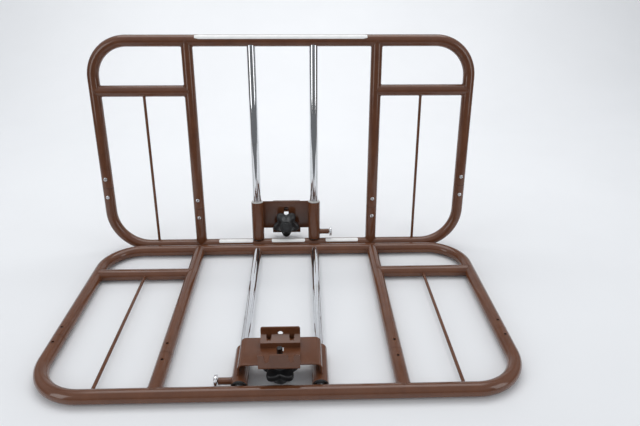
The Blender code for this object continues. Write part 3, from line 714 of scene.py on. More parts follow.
def closed_mesh(bm, finish, matrix=None):
    """A finished bmesh as a smooth mesh with its faces outwards."""
    if matrix:
        bm.transform(matrix)
    bmesh.ops.recalc_face_normals(bm, faces=bm.faces)
    mesh = bpy.data.meshes.new("shape")
    bm.to_mesh(mesh)
    bm.free()
    mesh.materials.append(finish)
    mesh.shade_smooth()
    return mesh


print("lathe ready")

# %% Tree: set rivets on points
setter, given, out = new_shape_tree(
    "set_rivets",
    [
        ("Rivet", "NodeSocketObject", None),
        ("Turn Seed", "NodeSocketInt", 7),
        ("Size Spread", "NodeSocketFloat", 0.03),
        ("Finish", "NodeSocketMaterial", None),
    ],
)
info = setter.nodes.new("GeometryNodeObjectInfo")
turn = add_node(setter, "FunctionNodeRandomValue", {"data_type": "FLOAT_VECTOR"})
turn.inputs[0].default_value = (-0.04, -0.04, 0)
turn.inputs[1].default_value = (0.04, 0.04, 2 * math.pi)
spread = add_node(setter, "FunctionNodeRandomValue", {"data_type": "FLOAT"})
smaller = add_node(setter, "ShaderNodeMath", {"operation": "SUBTRACT"})
smaller.inputs[0].default_value = 1.0
spread.inputs[3].default_value = 1.0
instance = setter.nodes.new("GeometryNodeInstanceOnPoints")
setter.links.new(given.outputs["Rivet"], info.inputs["Object"])
setter.links.new(given.outputs["Turn Seed"], turn.inputs["Seed"])
setter.links.new(given.outputs["Turn Seed"], spread.inputs["Seed"])
setter.links.new(given.outputs["Size Spread"], smaller.inputs[1])
setter.links.new(smaller.outputs[0], spread.inputs[2])
setter.links.new(given.outputs["Geometry"], instance.inputs["Points"])
setter.links.new(info.outputs["Geometry"], instance.inputs["Instance"])
setter.links.new(turn.outputs[0], instance.inputs["Rotation"])
setter.links.new(spread.outputs[1], instance.inputs["Scale"])
finish_tree(setter, instance.outputs[0], given, out)
print(setter.name, "has", len(setter.nodes), "nodes")

# %% Rivets and splice tubes
RIVET_HEAD_R, RIVET_HEAD = 4.4 * MM, 1.0 * MM
head_base = TUBE_R - 0.3 * MM
head_top = TUBE_R + 0.3 * MM + RIVET_HEAD
rivet_profile = soften(
    [
        (0, head_base - 1 * MM), (RIVET_HEAD_R * 0.93, head_base - 1 * MM),
        (RIVET_HEAD_R, head_top - RIVET_HEAD * 0.7), (RIVET_HEAD_R * 0.66, head_top),
        (RIVET_R * 0.62, head_top), (RIVET_R * 0.5, head_top - 1.1 * MM), (0, head_top - 1.3 * MM),
    ],
    0.35 * MM,
)
rivet_mesh = turned(rivet_profile, zinc, sides=24)
rivet_model = bpy.data.objects.new("rivet_model", rivet_mesh)
seams = [(side * x, y + step) for side in (-1, 1)
         for x, y in ((HALF_WIDTH, LEG_SEAM), (UPRIGHT_X, UPRIGHT_SEAM))
         for step in (-RIVET_PITCH / 2, RIVET_PITCH / 2)]
rivets = grown(setter, [(x, y, 0) for x, y in seams], [],
               {"Rivet": rivet_model, "Turn Seed": 7, "Size Spread": 0.03, "Finish": zinc})
bpy.data.objects.remove(rivet_model)
place(rivets, "blind_rivets", "frame", [])
for kind, x, y in (("leg", HALF_WIDTH, LEG_SEAM), ("upright", UPRIGHT_X, UPRIGHT_SEAM)):
    for side, word in ((-1, "left"), (1, "right")):
        splice = tube([(side * x, y - 35 * MM, 0), (side * x, y + 35 * MM, 0)],
                      TUBE_R - TUBE_WALL - 0.5 * MM, 1.2 * MM, zinc, sides=32,
                      holes=[disc_cutter(side * x, y + step, -1.5 * TUBE_R, 0, RIVET_R)
                             for step in (-RIVET_PITCH / 2, RIVET_PITCH / 2)])
        place(splice, f"{kind}_splice_tube_{word}", "frame", [f"{kind}_splice_{word}"])

# %% [markdown]
# ## Weld beads
# Where tubes meet there is a fillet of weld under the enamel, a bead with small ripples. It
# follows the line on which the two tubes cut each other. Geometry Nodes sweeps a small circle
# along that line, and its radius swells and shrinks with the distance along the line.

# %% Tree: weld bead
welder, given, out = new_shape_tree(
    "weld_bead",
    [
        ("Bead Radius", "NodeSocketFloat", 1.5 * MM),
        ("Ripple Pitch", "NodeSocketFloat", 1.7 * MM),
        ("Ripple Depth", "NodeSocketFloat", 0.12),
        ("Waver", "NodeSocketFloat", 0.35),
        ("Seed", "NodeSocketFloat", 3.0),
        ("Finish", "NodeSocketMaterial", None),
    ],
)
path = welder.nodes.new("GeometryNodeMeshToCurve")
even = welder.nodes.new("GeometryNodeResampleCurve")
even.mode = "LENGTH"
sixth = add_node(welder, "ShaderNodeMath", {"operation": "DIVIDE"})
sixth.inputs[1].default_value = 5.0
along = welder.nodes.new("GeometryNodeSplineParameter")
phase = add_node(welder, "ShaderNodeMath", {"operation": "DIVIDE"})
cycle = add_node(welder, "ShaderNodeMath", {"operation": "MULTIPLY"})
cycle.inputs[1].default_value = 2 * math.pi
wave = add_node(welder, "ShaderNodeMath", {"operation": "SINE"})
swell = add_node(welder, "ShaderNodeMath", {"operation": "MULTIPLY_ADD"})
swell.inputs[2].default_value = 1.0
uneven_bead = add_node(welder, "ShaderNodeTexNoise", {"noise_dimensions": "4D"}, {"Scale": 240.0})
centred = add_node(welder, "ShaderNodeMath", {"operation": "SUBTRACT"})
centred.inputs[1].default_value = 0.5
wavered = add_node(welder, "ShaderNodeMath", {"operation": "MULTIPLY_ADD"})
size = add_node(welder, "ShaderNodeMath", {"operation": "MULTIPLY"})
set_radius = welder.nodes.new("GeometryNodeSetCurveRadius")
circle = welder.nodes.new("GeometryNodeCurvePrimitiveCircle")
circle.inputs["Resolution"].default_value = 8
circle.inputs["Radius"].default_value = 1.0
sweep = welder.nodes.new("GeometryNodeCurveToMesh")
place_along = welder.nodes.new("GeometryNodeInputPosition")
for start, end in (
    (given.outputs["Geometry"], path.inputs["Mesh"]),
    (path.outputs["Curve"], even.inputs["Curve"]),
    (given.outputs["Ripple Pitch"], sixth.inputs[0]),
    (sixth.outputs[0], even.inputs["Length"]),
    (along.outputs["Length"], phase.inputs[0]),
    (given.outputs["Ripple Pitch"], phase.inputs[1]),
    (phase.outputs[0], cycle.inputs[0]),
    (cycle.outputs[0], wave.inputs[0]),
    (wave.outputs[0], swell.inputs[0]),
    (given.outputs["Ripple Depth"], swell.inputs[1]),
    (place_along.outputs[0], uneven_bead.inputs["Vector"]),
    (given.outputs["Seed"], uneven_bead.inputs["W"]),
    (uneven_bead.outputs["Fac"], centred.inputs[0]),
    (centred.outputs[0], wavered.inputs[0]),
    (given.outputs["Waver"], wavered.inputs[1]),
    (swell.outputs[0], wavered.inputs[2]),
    (wavered.outputs[0], size.inputs[0]),
    (given.outputs["Bead Radius"], size.inputs[1]),
    (even.outputs["Curve"], set_radius.inputs["Curve"]),
    (size.outputs[0], set_radius.inputs["Radius"]),
    (set_radius.outputs["Curve"], sweep.inputs["Curve"]),
    (circle.outputs["Curve"], sweep.inputs["Profile Curve"]),
):
    welder.links.new(start, end)
sweep.inputs["Fill Caps"].default_value = True
if "Scale" in sweep.inputs:
    radius_of = welder.nodes.new("GeometryNodeInputRadius")
    welder.links.new(radius_of.outputs[0], sweep.inputs["Scale"])
finish_tree(welder, sweep.outputs["Mesh"], given, out)
print(welder.name, "has", len(welder.nodes), "nodes")

# %% [markdown]
# The line of a joint is where a branch tube of radius r meets a main tube of radius R. At the
# angle a round the branch, its surface is r sin a out of the plane, so the main tube's surface
# is sqrt(R^2 - (r sin a)^2) from the main tube's own line.

# %% Weld lines of the frame


def saddle(centre, rise, across, r, main_r, steps=40):
    """The closed line where a branch along rise, from centre, leaves a main tube."""
    out_of_plane = Vector((0, 0, 1))
    points = []
    for k in range(steps):
        a = 2 * math.pi * k / steps
        lift = math.sqrt(max(0.0, main_r**2 - (r * math.sin(a)) ** 2))
        points.append(centre + r * math.cos(a) * across + r * math.sin(a) * out_of_plane
                      + (lift + 0.1 * MM) * rise)
    return points


X_WAY, Y_WAY = Vector((1, 0, 0)), Vector((0, 1, 0))


def weld(loops, bead_r, closed=True, ripple=1.7 * MM, seed=3.0, waver=0.35):
    points, edges = [], []
    for loop in loops:
        edges += [(a + len(points), b + len(points)) for a, b in chain(len(loop), closed)]
        points += loop
    mesh = grown(welder, points, edges, {"Bead Radius": bead_r, "Ripple Pitch": ripple,
                 "Ripple Depth": 0.12, "Waver": waver, "Seed": seed, "Finish": enamel})
    mesh.shade_smooth()
    return mesh


tube_loops, rod_loops = [], []
for side in (-1, 1):
    low, high = Vector((side * UPRIGHT_X, 0, 0)), Vector((side * UPRIGHT_X, TOP_Y, 0))
    bar_in, bar_out = Vector((side * UPRIGHT_X, BAR_Y, 0)), Vector((side * HALF_WIDTH, BAR_Y, 0))
    tube_loops += [saddle(low, Y_WAY, X_WAY, TUBE_R, TUBE_R), saddle(high, -Y_WAY, X_WAY, TUBE_R, TUBE_R)]
    tube_loops += [saddle(bar_in, side * X_WAY, Y_WAY, TUBE_R, TUBE_R),
                   saddle(bar_out, -side * X_WAY, Y_WAY, TUBE_R, TUBE_R)]
    rod_low, rod_high = Vector((side * ROD_X, 0, 0)), Vector((side * ROD_X, BAR_Y, 0))
    rod_loops += [saddle(rod_low, Y_WAY, X_WAY, ROD_R, TUBE_R),
                  saddle(rod_high, -Y_WAY, X_WAY, ROD_R, TUBE_R)]
frame_welds = merge([weld(tube_loops, 1.1 * MM), weld(rod_loops, 0.9 * MM, ripple=1.4 * MM)])
place(frame_welds, "weld_beads", "frame", [], weigh=False)

# %% [markdown]
# ## The carrier
# Two sleeves run on the posts. A flanged bush is pressed into each end, pale grey above and
# black below. The sleeves are short pieces of the same tube as the frame.

# %% Sleeves and bushes
for side, word in ((-1, "left"), (1, "right")):
    x = side * POST_X
    sleeve = tube([(x, SLEEVE_Y, 0), (x, SLEEVE_Y + SLEEVE_LENGTH, 0)], SLEEVE_R, 1.6 * MM,
                  enamel, edge=0.45 * MM)
    place(sleeve, f"sleeve_tube_{word}", "carrier", [f"sleeve_{word}"])
    bore, run = SLEEVE_R - 1.9 * MM, POST_R + 0.3 * MM
    ring = soften([(run, 12 * MM), (run, -2 * MM), (SLEEVE_R - 1.1 * MM, -2 * MM),
                   (SLEEVE_R - 0.2 * MM, 0), (bore, 0), (bore, 12 * MM), (run, 12 * MM)], 0.6 * MM)[:-1]
    for level, rise, finish, node, slot in (
        (SLEEVE_Y + SLEEVE_LENGTH + 0.3 * MM, 1, grey_bush, "upper_bush", "grey_nylon"),
        (SLEEVE_Y - 0.3 * MM, -1, dark_bush, "lower_bush", "black_nylon"),
    ):
        turn = Matrix.Translation((x, level, 0)) @ Matrix.Rotation(rise * math.pi / 2, 4, "X")
        bush = turned(ring, finish, 48, turn, closed=True)
        place(bush, f"{node}_ring_{word}", "carrier", [f"{node}_{word}"])

# %% [markdown]
# The bridge is 3 mm sheet folded to a channel. Its outline is drawn once, with large outside
# bends, and extruded along the sleeves. The jaws are made the same way. A Bevel gives the sheet
# the rolled edges that enamel leaves, and these edges draw the bright lines on it.

# %% Helper: folded sheet


def arc(centre, radius, start, end, steps=10):
    """Points on an arc, with start and end in degrees."""
    turns = [math.radians(start + (end - start) * k / steps) for k in range(steps + 1)]
    return [(centre[0] + radius * math.cos(a), centre[1] + radius * math.sin(a)) for a in turns]


def stadium(x, low, high, radius, steps=12):
    return arc((x, high), radius, 0, 180, steps) + arc((x, low), radius, 180, 360, steps)


def extruded(outline, start, end, axes):
    """An outline of (u, v) points pulled from start to end along the third axis."""
    u_axis, v_axis, w_axis = (Vector(axis) for axis in axes)
    bm = bmesh.new()
    rings = []
    for level in (start, end):
        rings.append([bm.verts.new(u * u_axis + v * v_axis + level * w_axis) for u, v in outline])
    count = len(outline)
    for k in range(count):
        bm.faces.new((rings[0][k], rings[0][(k + 1) % count], rings[1][(k + 1) % count], rings[1][k]))
    bm.faces.new(rings[0])
    bm.faces.new(rings[1])
    return bm


def sheet(bm, tools, finish, edge):
    """Cuts the tools out of a folded sheet and rolls its edges."""
    mesh = closed_mesh(bm, finish)
    carrier = bpy.data.objects.new("sheet", mesh)
    bpy.context.scene.collection.objects.link(carrier)
    for tool in tools:
        kind, settings = cut_by(tool)
        step = carrier.modifiers.new("cut", kind)
        for key, value in settings.items():
            setattr(step, key, value)
    roll = carrier.modifiers.new("roll", "BEVEL")
    roll.width, roll.segments, roll.angle_limit = edge, 3, math.radians(38)
    roll.use_clamp_overlap = True
    made = bake(carrier)
    made.shade_smooth()
    made.set_sharp_from_angle(angle=math.radians(60))
    return made


print("sheet helper ready")

# %% Bridge
ACROSS_UP = ((1, 0, 0), (0, 0, -1), (0, 1, 0))  # outline in x and v, pulled up the rail
BRIDGE_BEND = 11.0 * MM
outer_half = [(FLANGE_X + PLATE / 2, SLEEVE_R - 0.5 * MM)]
outer_half += arc((FLANGE_X + PLATE / 2 - BRIDGE_BEND, WEB_REACH - BRIDGE_BEND), BRIDGE_BEND, 0, 90, 14)
inner_r = BRIDGE_BEND - PLATE
inner_half = [(FLANGE_X - PLATE / 2, SLEEVE_R - 0.5 * MM)]
inner_half += arc((FLANGE_X - PLATE / 2 - inner_r, WEB_REACH - BRIDGE_BEND), inner_r, 0, 90, 14)
outline = outer_half + [(-u, v) for u, v in reversed(outer_half)]
outline += [(-u, v) for u, v in inner_half] + list(reversed(inner_half))
slot_tool = as_cutter(extruded(stadium(0, 0, SLOT_TRAVEL, BOLT_R + 0.6 * MM), -WEB_REACH - PLATE,
                               -WEB_REACH + 2 * PLATE, ((1, 0, 0), (0, 1, 0), (0, 0, 1))))
slot_tool.data.transform(Matrix.Translation((0, BOLT_Y, 0)))
body = extruded(outline, WEB_Y, WEB_Y + WEB_HEIGHT, ACROSS_UP)
place(sheet(body, [slot_tool], enamel, 0.7 * MM), "carrier_channel", "carrier", ["carrier_bridge"])

# %% [markdown]
# The fixed jaw stands on the web. Its back plate has a hole, and in front of it a nose rises
# from the web and leans back to the plate. Two notches let the nose bite on a bed's side. The
# sliding jaw is an angle with two notches in its raised edge, and all free corners are rounded.

# %% Helper: rounded corners of the jaws
UP_OUT = ((0, 1, 0), (0, 0, -1), (1, 0, 0))  # outline in y and v, pulled across the rail
CORNER_R = 4.0 * MM


def corner_tools(edge, start, end):
    """Cutters that round both free corners of a jaw whose edge is at v = edge."""
    made = []
    for side in (-1, 1):
        x, low = JAW_WIDTH / 2, edge - CORNER_R
        outline = arc((x - CORNER_R, low), CORNER_R, 0, 90, 10)
        outline += [(x - CORNER_R, edge + PLATE), (x + PLATE, edge + PLATE), (x + PLATE, low)]
        outline = [(side * u, v) for u, v in outline]
        made.append(as_cutter(extruded(outline, start, end, ACROSS_UP)))
    return made


print("corner helper ready")

# %% Fixed jaw
foot_back = WEB_REACH + 0.3 * MM
NOSE, KNEE, NOSE_TOP = 16.2 * MM, foot_back + 9.6 * MM, foot_back + 16.7 * MM
PLATE_TOP = foot_back + 30.4 * MM
nose_lean = math.atan2(NOSE, NOSE_TOP - KNEE)
foot = WEB_REACH - 0.5 * MM
outline = [(-NOSE, foot), (-NOSE, KNEE), (0, NOSE_TOP), (0, PLATE_TOP), (PLATE, PLATE_TOP),
           (PLATE, foot), (0, foot), (0, NOSE_TOP - PLATE / math.sin(nose_lean)),
           (PLATE - NOSE, KNEE - PLATE * math.tan(nose_lean / 2)), (PLATE - NOSE, foot)]
body = extruded(outline, -JAW_WIDTH / 2, JAW_WIDTH / 2, UP_OUT)
NOTCH_X, NOSE_NOTCH = 20.0 * MM, 4.5 * MM
tools = []
for side in (-1, 1):
    outline = stadium(side * NOTCH_X, KNEE + 0.8 * MM + NOSE_NOTCH, PLATE_TOP, NOSE_NOTCH)
    tools.append(as_cutter(extruded(outline, -2 * NOSE, 0.3 * MM, ACROSS_UP)))
tools += corner_tools(PLATE_TOP, -PLATE, 2 * PLATE)
hole = turned([(0, -6 * MM), (4.6 * MM, -6 * MM), (4.6 * MM, 0.3 * MM), (0, 0.3 * MM)], enamel, 32,
              Matrix.Translation((0, 0, -foot_back - 17.8 * MM)) @ Matrix.Rotation(math.pi / 2, 4, "X"))
bm = bmesh.new()
bm.from_mesh(hole)
tools.append(as_cutter(bm))
jaw = sheet(body, tools, enamel, 0.6 * MM)
jaw.transform(Matrix.Translation((0, HOOK_Y, 0)))
place(jaw, "fixed_jaw_nose", "carrier", ["fixed_jaw"])

# %% Sliding jaw
JAW_BEND, FOOT_LENGTH, NOTCH_R, NOTCH_DEPTH = 6.0 * MM, 44.8 * MM, 3.8 * MM, 16.4 * MM
edge_v = WEB_REACH + 32.0 * MM
bend = (JAW_BEND, foot_back + JAW_BEND)
outline = [(FOOT_LENGTH, foot_back)] + list(arc(bend, JAW_BEND, 270, 180, 8))
outline += [(0, edge_v), (PLATE, edge_v)] + arc(bend, JAW_BEND - PLATE, 180, 270, 6)
outline += [(FOOT_LENGTH, foot_back + PLATE)]
body = extruded(outline, -JAW_WIDTH / 2, JAW_WIDTH / 2, UP_OUT)
tools = []
for side in (-1, 1):
    mouth = NOTCH_R + 3.0 * MM
    low = edge_v - NOTCH_DEPTH + NOTCH_R
    left = soften([(-mouth - 4 * MM, edge_v), (-mouth, edge_v), (-NOTCH_R, edge_v - 5 * MM),
                   (-NOTCH_R, low + 1 * MM)], 3.5 * MM, 8)
    notch = [(side * NOTCH_X + u, v) for u, v in left]
    notch += [(side * NOTCH_X + u, v) for u, v in arc((0, low), NOTCH_R, 180, 360, 12)]
    notch += [(side * NOTCH_X - u, v) for u, v in reversed(left)]
    notch += [(side * NOTCH_X + mouth + 4 * MM, edge_v + 5 * MM),
              (side * NOTCH_X - mouth - 4 * MM, edge_v + 5 * MM)]
    tools.append(as_cutter(extruded(notch, -PLATE, 2 * PLATE, ACROSS_UP)))
tools += corner_tools(edge_v, -PLATE, 2 * PLATE)
tools.append(disc_cutter(0, BOLT_Y - FOOT_Y, -foot_back - 2 * PLATE, -foot_back + PLATE, BOLT_R + 0.3 * MM))
jaw = sheet(body, tools, enamel, 0.6 * MM)
jaw.transform(Matrix.Translation((0, FOOT_Y, 0)))
place(jaw, "sliding_jaw_angle", "clamp", ["sliding_jaw"])

# %% [markdown]
# ## Bolt and knob
# A hexagon-headed bolt passes through the jaw and the slot in the web. The head is forged, so
# its top is chamfered round to a disc. A bright washer spreads the load of a star knob, which
# is turned by hand to tighten the clamp.

# %% Bolt and washer
head, HEAD_HEIGHT, HEAD_R = foot_back + PLATE + 0.3 * MM, 15.0 * MM, 5.2 * MM
web_outer = WEB_REACH - PLATE
knob_back = web_outer - 0.6 * MM - 2 * MM
star_back = knob_back - 14 * MM
TO_BED = Matrix.Translation((0, BOLT_Y, 0)) @ Matrix.Rotation(math.pi, 4, "X")
shank = turned([(0, head + 1 * MM), (BOLT_R, head + 1 * MM), (BOLT_R, star_back), (0, star_back)],
               zinc, 40, TO_BED)
bm = bmesh.new()
rings = []
flat_r, HEAD_STEPS = HEAD_R * math.cos(math.pi / 6), 60
for level, reach in ((head, 1.0), (head + HEAD_HEIGHT - 0.9 * MM, 1.0), (head + HEAD_HEIGHT, 0.93),
                     (head + HEAD_HEIGHT, 0.8), (head + HEAD_HEIGHT - 0.3 * MM, 0.75)):
    ring = []
    for k in range(HEAD_STEPS):
        a = 2 * math.pi * k / HEAD_STEPS
        to_flat = (a + math.pi / 6) % (math.pi / 3) - math.pi / 6
        hexagon_r = HEAD_R * math.cos(math.pi / 6) / math.cos(math.pi / 6 - abs(to_flat))
        radius = min(hexagon_r, flat_r + (HEAD_R - flat_r) * 2 * (reach - 0.5)) * min(1.0, reach + 0.05)
        ring.append(bm.verts.new((radius * math.cos(a), BOLT_Y + radius * math.sin(a), -level)))
    rings.append(ring)
for first, second in zip(rings, rings[1:]):
    for k in range(HEAD_STEPS):
        after = (k + 1) % HEAD_STEPS
        bm.faces.new((first[k], first[after], second[after], second[k]))
bm.faces.new(rings[0])
bm.faces.new(rings[-1])
# The head takes the near-black metal whose dark colour is painted shade.
head_mesh = closed_mesh(bm, bolt_head_shade_metal)
head_mesh.set_sharp_from_angle(angle=math.radians(25))
place(head_mesh, "clamp_bolt_head", "clamp", ["clamp_bolt"])
ring = soften([(BOLT_R - 0.2 * MM, knob_back + 1 * MM), (BOLT_R - 0.2 * MM, knob_back + 2.3 * MM),
               (10.5 * MM, knob_back + 2.3 * MM), (10.5 * MM, knob_back + 0.3 * MM),
               (BOLT_R - 0.2 * MM, knob_back + 0.3 * MM), (BOLT_R - 0.2 * MM, knob_back + 1 * MM)],
              0.3 * MM)[:-1]
washer = turned(ring, zinc, 48, TO_BED, closed=True)
place(merge([shank, washer]), "clamp_shank_and_washer", "clamp", ["clamp_bolt"])

# %% [markdown]
# The knob has five lobes. Its outline is a circle whose radius rises and falls five times, with
# wide lobes and tighter valleys. Rings of that outline are stacked: a round boss, an eased
# under-edge, the full lobes, a slope down to a round hub, and a cap. On the lying rail the knob
# was left a tenth of a turn further round.

# %% Star knob
KNOB_TIP, KNOB_VALLEY, KNOB_LOBES, KNOB_SIDES = 33.0 * MM, 22.5 * MM, 5, 120
POINT = 0.0005 * MM
HUB_R, CAP_R = 15.5 * MM, 10.0 * MM
star_front = star_back - 12 * MM
hub_front = star_front - 16 * MM


def star(inset, depth_share=1.0):
    """Radii of the knob's outline, drawn in by inset."""
    radii = []
    for k in range(KNOB_SIDES):
        wave = (1 + math.cos(KNOB_LOBES * 2 * math.pi * k / KNOB_SIDES)) / 2
        radii.append(KNOB_VALLEY - inset + (KNOB_TIP - KNOB_VALLEY) * depth_share * wave**0.75)
    return radii


def circle_radii(radius):
    return [radius] * KNOB_SIDES


eased = [(1 - math.cos(math.radians(18 * k)), math.sin(math.radians(18 * k))) for k in range(6)]
EASE = 3.5 * MM
levels = [(star_back, circle_radii(POINT)), (star_back, circle_radii(4 * MM)),
          (star_back, circle_radii(BOLT_R + 0.3 * MM)),
          (knob_back - 0.5 * MM, circle_radii(BOLT_R + 0.3 * MM)),
          (knob_back, circle_radii(BOLT_R + 0.9 * MM)),
          (knob_back, circle_radii(11.7 * MM)), (knob_back - 0.8 * MM, circle_radii(12.5 * MM)),
          (star_back + 3 * MM, circle_radii(12.8 * MM)), (star_back + 0.8 * MM, circle_radii(14 * MM)),
          (star_back, star(8 * MM, 0.8))]
levels += [(star_back - EASE * drop, star(EASE * (1 - rise) * 0.9)) for drop, rise in eased]
levels += [(star_front + EASE * drop, star(EASE * (1 - rise) * 0.9)) for drop, rise in reversed(eased)]
for t in (0.12, 0.3, 0.5, 0.7, 0.85, 0.95):
    outer = star(EASE * 0.9, 1.0 - 0.75 * t)
    radii = [(1 - t) * r + t * HUB_R for r in outer]
    levels.append((star_front + (hub_front + 1 * MM - star_front) * t**1.25, radii))
levels += [(hub_front, circle_radii(HUB_R - 0.7 * MM)), (hub_front + 0.5 * MM, circle_radii(CAP_R + 1 * MM)),
           (hub_front + 0.5 * MM, circle_radii(CAP_R + 0.1 * MM)),
           (hub_front - 1.2 * MM, circle_radii(CAP_R)),
           (hub_front - 1.9 * MM, circle_radii(CAP_R - 0.8 * MM)),
           (hub_front - 2.0 * MM, circle_radii(CAP_R - 2 * MM)),
           (hub_front - 2.0 * MM, circle_radii(POINT))]
bm = bmesh.new()
rings = []
for level, radii in levels:
    turns = [2 * math.pi * k / KNOB_SIDES - math.pi / 2 for k in range(KNOB_SIDES)]
    rings.append([bm.verts.new((r * math.cos(a), r * math.sin(a), -level))
                  for a, r in zip(turns, radii)])
for first, second in zip(rings, rings[1:]):
    for k in range(KNOB_SIDES):
        after = (k + 1) % KNOB_SIDES
        bm.faces.new((first[k], first[after], second[after], second[k]))
bmesh.ops.remove_doubles(bm, verts=bm.verts, dist=0.002 * MM)
knob = closed_mesh(bm, black)
for prefix, twist in (("flat", math.pi / KNOB_LOBES), ("standing", 0.0)):
    twisted = knob.copy()
    twisted.transform(Matrix.Translation((0, BOLT_Y, 0)) @ Matrix.Rotation(twist, 4, "Z"))
    place(twisted, "star_knob", "knob", ["clamp_knob"], only=prefix)

# %% [markdown]
# ## Spring latch
# A short housing is welded to the foot of one sleeve. A pin in it locks the carrier, and a coil
# spring pushes the pin in. The chrome cap outside is what fingers pull.

# %% Latch housing and pin
HOUSING_LENGTH, HOUSING_R = 22.5 * MM, 6.2 * MM
OUT_X = Matrix.Translation((0, LATCH_Y, 0)) @ Matrix.Rotation(math.pi / 2, 4, "Y")
end_x = HOUSING_X + HOUSING_LENGTH
ring = soften(
    [
        (5.0 * MM, HOUSING_X), (5.0 * MM, HOUSING_X - 1.5 * MM), (HOUSING_R, HOUSING_X - 1.5 * MM),
        (HOUSING_R, end_x), (2.7 * MM, end_x), (2.7 * MM, end_x - 2 * MM), (5.0 * MM, end_x - 2 * MM),
        (5.0 * MM, HOUSING_X),
    ],
    0.6 * MM,
)[:-1]
place(turned(ring, enamel, 40, OUT_X, closed=True), "latch_housing_tube", "carrier",
      ["latch_housing"])
nose_x, collar_x, pull_x = POST_X + POST_R + 0.3 * MM, HOUSING_X + 0.9 * MM, end_x + 1.0 * MM
profile = soften(
    [
        (0, nose_x), (2.1 * MM, nose_x), (3 * MM, nose_x + 1.2 * MM), (3 * MM, collar_x),
        (4.5 * MM, collar_x), (4.5 * MM, collar_x + 1.6 * MM), (2.4 * MM, collar_x + 1.6 * MM),
        (2.4 * MM, pull_x), (10.6 * MM, pull_x), (11.5 * MM, pull_x + 1.2 * MM),
        (11.5 * MM, pull_x + 4.4 * MM), (9.6 * MM, pull_x + 6 * MM), (0, pull_x + 6 * MM),
    ],
    0.8 * MM,
)
place(turned(profile, chrome, 40, OUT_X), "latch_pull_pin", "pin", ["latch_pin"])

# %% [markdown]
# The spring follows a helix, so Geometry Nodes draws it with the Spiral curve.

# %% Latch spring
coiler, given, out = new_shape_tree(
    "coil_spring",
    [
        ("Coil Radius", "NodeSocketFloat", 4.0 * MM),
        ("Length", "NodeSocketFloat", 20.0 * MM),
        ("Turns", "NodeSocketFloat", 5.0),
        ("Wire Radius", "NodeSocketFloat", 0.45 * MM),
        ("Finish", "NodeSocketMaterial", None),
    ],
)
spiral = coiler.nodes.new("GeometryNodeCurveSpiral")
spiral.inputs["Resolution"].default_value = 28
circle = coiler.nodes.new("GeometryNodeCurvePrimitiveCircle")
circle.inputs["Resolution"].default_value = 8
sweep = coiler.nodes.new("GeometryNodeCurveToMesh")
sweep.inputs["Fill Caps"].default_value = True
for start, end in (
    (given.outputs["Coil Radius"], spiral.inputs["Start Radius"]),
    (given.outputs["Coil Radius"], spiral.inputs["End Radius"]),
    (given.outputs["Length"], spiral.inputs["Height"]),
    (given.outputs["Turns"], spiral.inputs["Rotations"]),
    (given.outputs["Wire Radius"], circle.inputs["Radius"]),
    (spiral.outputs["Curve"], sweep.inputs["Curve"]),
    (circle.outputs["Curve"], sweep.inputs["Profile Curve"]),
):
    coiler.links.new(start, end)
finish_tree(coiler, sweep.outputs["Mesh"], given, out)
low, high = collar_x + 2.4 * MM, end_x - 2.8 * MM
spring = grown(coiler, [(0, 0, 0)], [], {"Coil Radius": 4.0 * MM, "Length": high - low,
               "Turns": 5.0, "Wire Radius": 0.45 * MM, "Finish": zinc})
spring.shade_smooth()
spring.transform(OUT_X @ Matrix.Translation((0, 0, low)))
place(spring, "latch_coil_spring", "carrier", ["latch_spring"], weigh=False)

# %% [markdown]
# Welds of the carrier: along both edges of each flange, behind the fixed jaw's foot, and round
# the latch housing.

# %% Carrier welds
runs = []
for side in (-1, 1):
    for u in (-1, 1):
        off = FLANGE_X - POST_X + u * (PLATE / 2 + 0.2 * MM)
        seat_v = math.sqrt(SLEEVE_R**2 - off**2) + 0.3 * MM
        runs.append([Vector((side * (POST_X + off), WEB_Y + (2 + k * 4) * MM, -seat_v))
                     for k in range(18)])
for low, high in ((-30, -12), (12, 30)):
    runs.append([Vector((x * MM, HOOK_Y + PLATE + 0.2 * MM, -WEB_REACH - 0.2 * MM))
                 for x in range(low, high + 1, 3)])
around = []
for k in range(32):
    a = 2 * math.pi * k / 32
    y, z = HOUSING_R * math.cos(a), HOUSING_R * math.sin(a)
    around.append(Vector((POST_X + math.sqrt(SLEEVE_R**2 - z**2) + 0.1 * MM, LATCH_Y + y, z)))
carrier_welds = merge([weld(runs, 1.4 * MM, closed=False, seed=5.0), weld([around], 1.0 * MM, seed=9.0)])
place(carrier_welds, "carrier_weld_beads", "carrier", [], weigh=False)

# %% [markdown]
# ## Labels
# The standing rail still carries its labels: a long one on the top tube and three short ones
# on the bottom tube. Each is a sheet of film bent round the tube, 0.15 mm thick, with rounded
# corners. They are left blank.

# %% Blank labels
FILM = 0.15 * MM


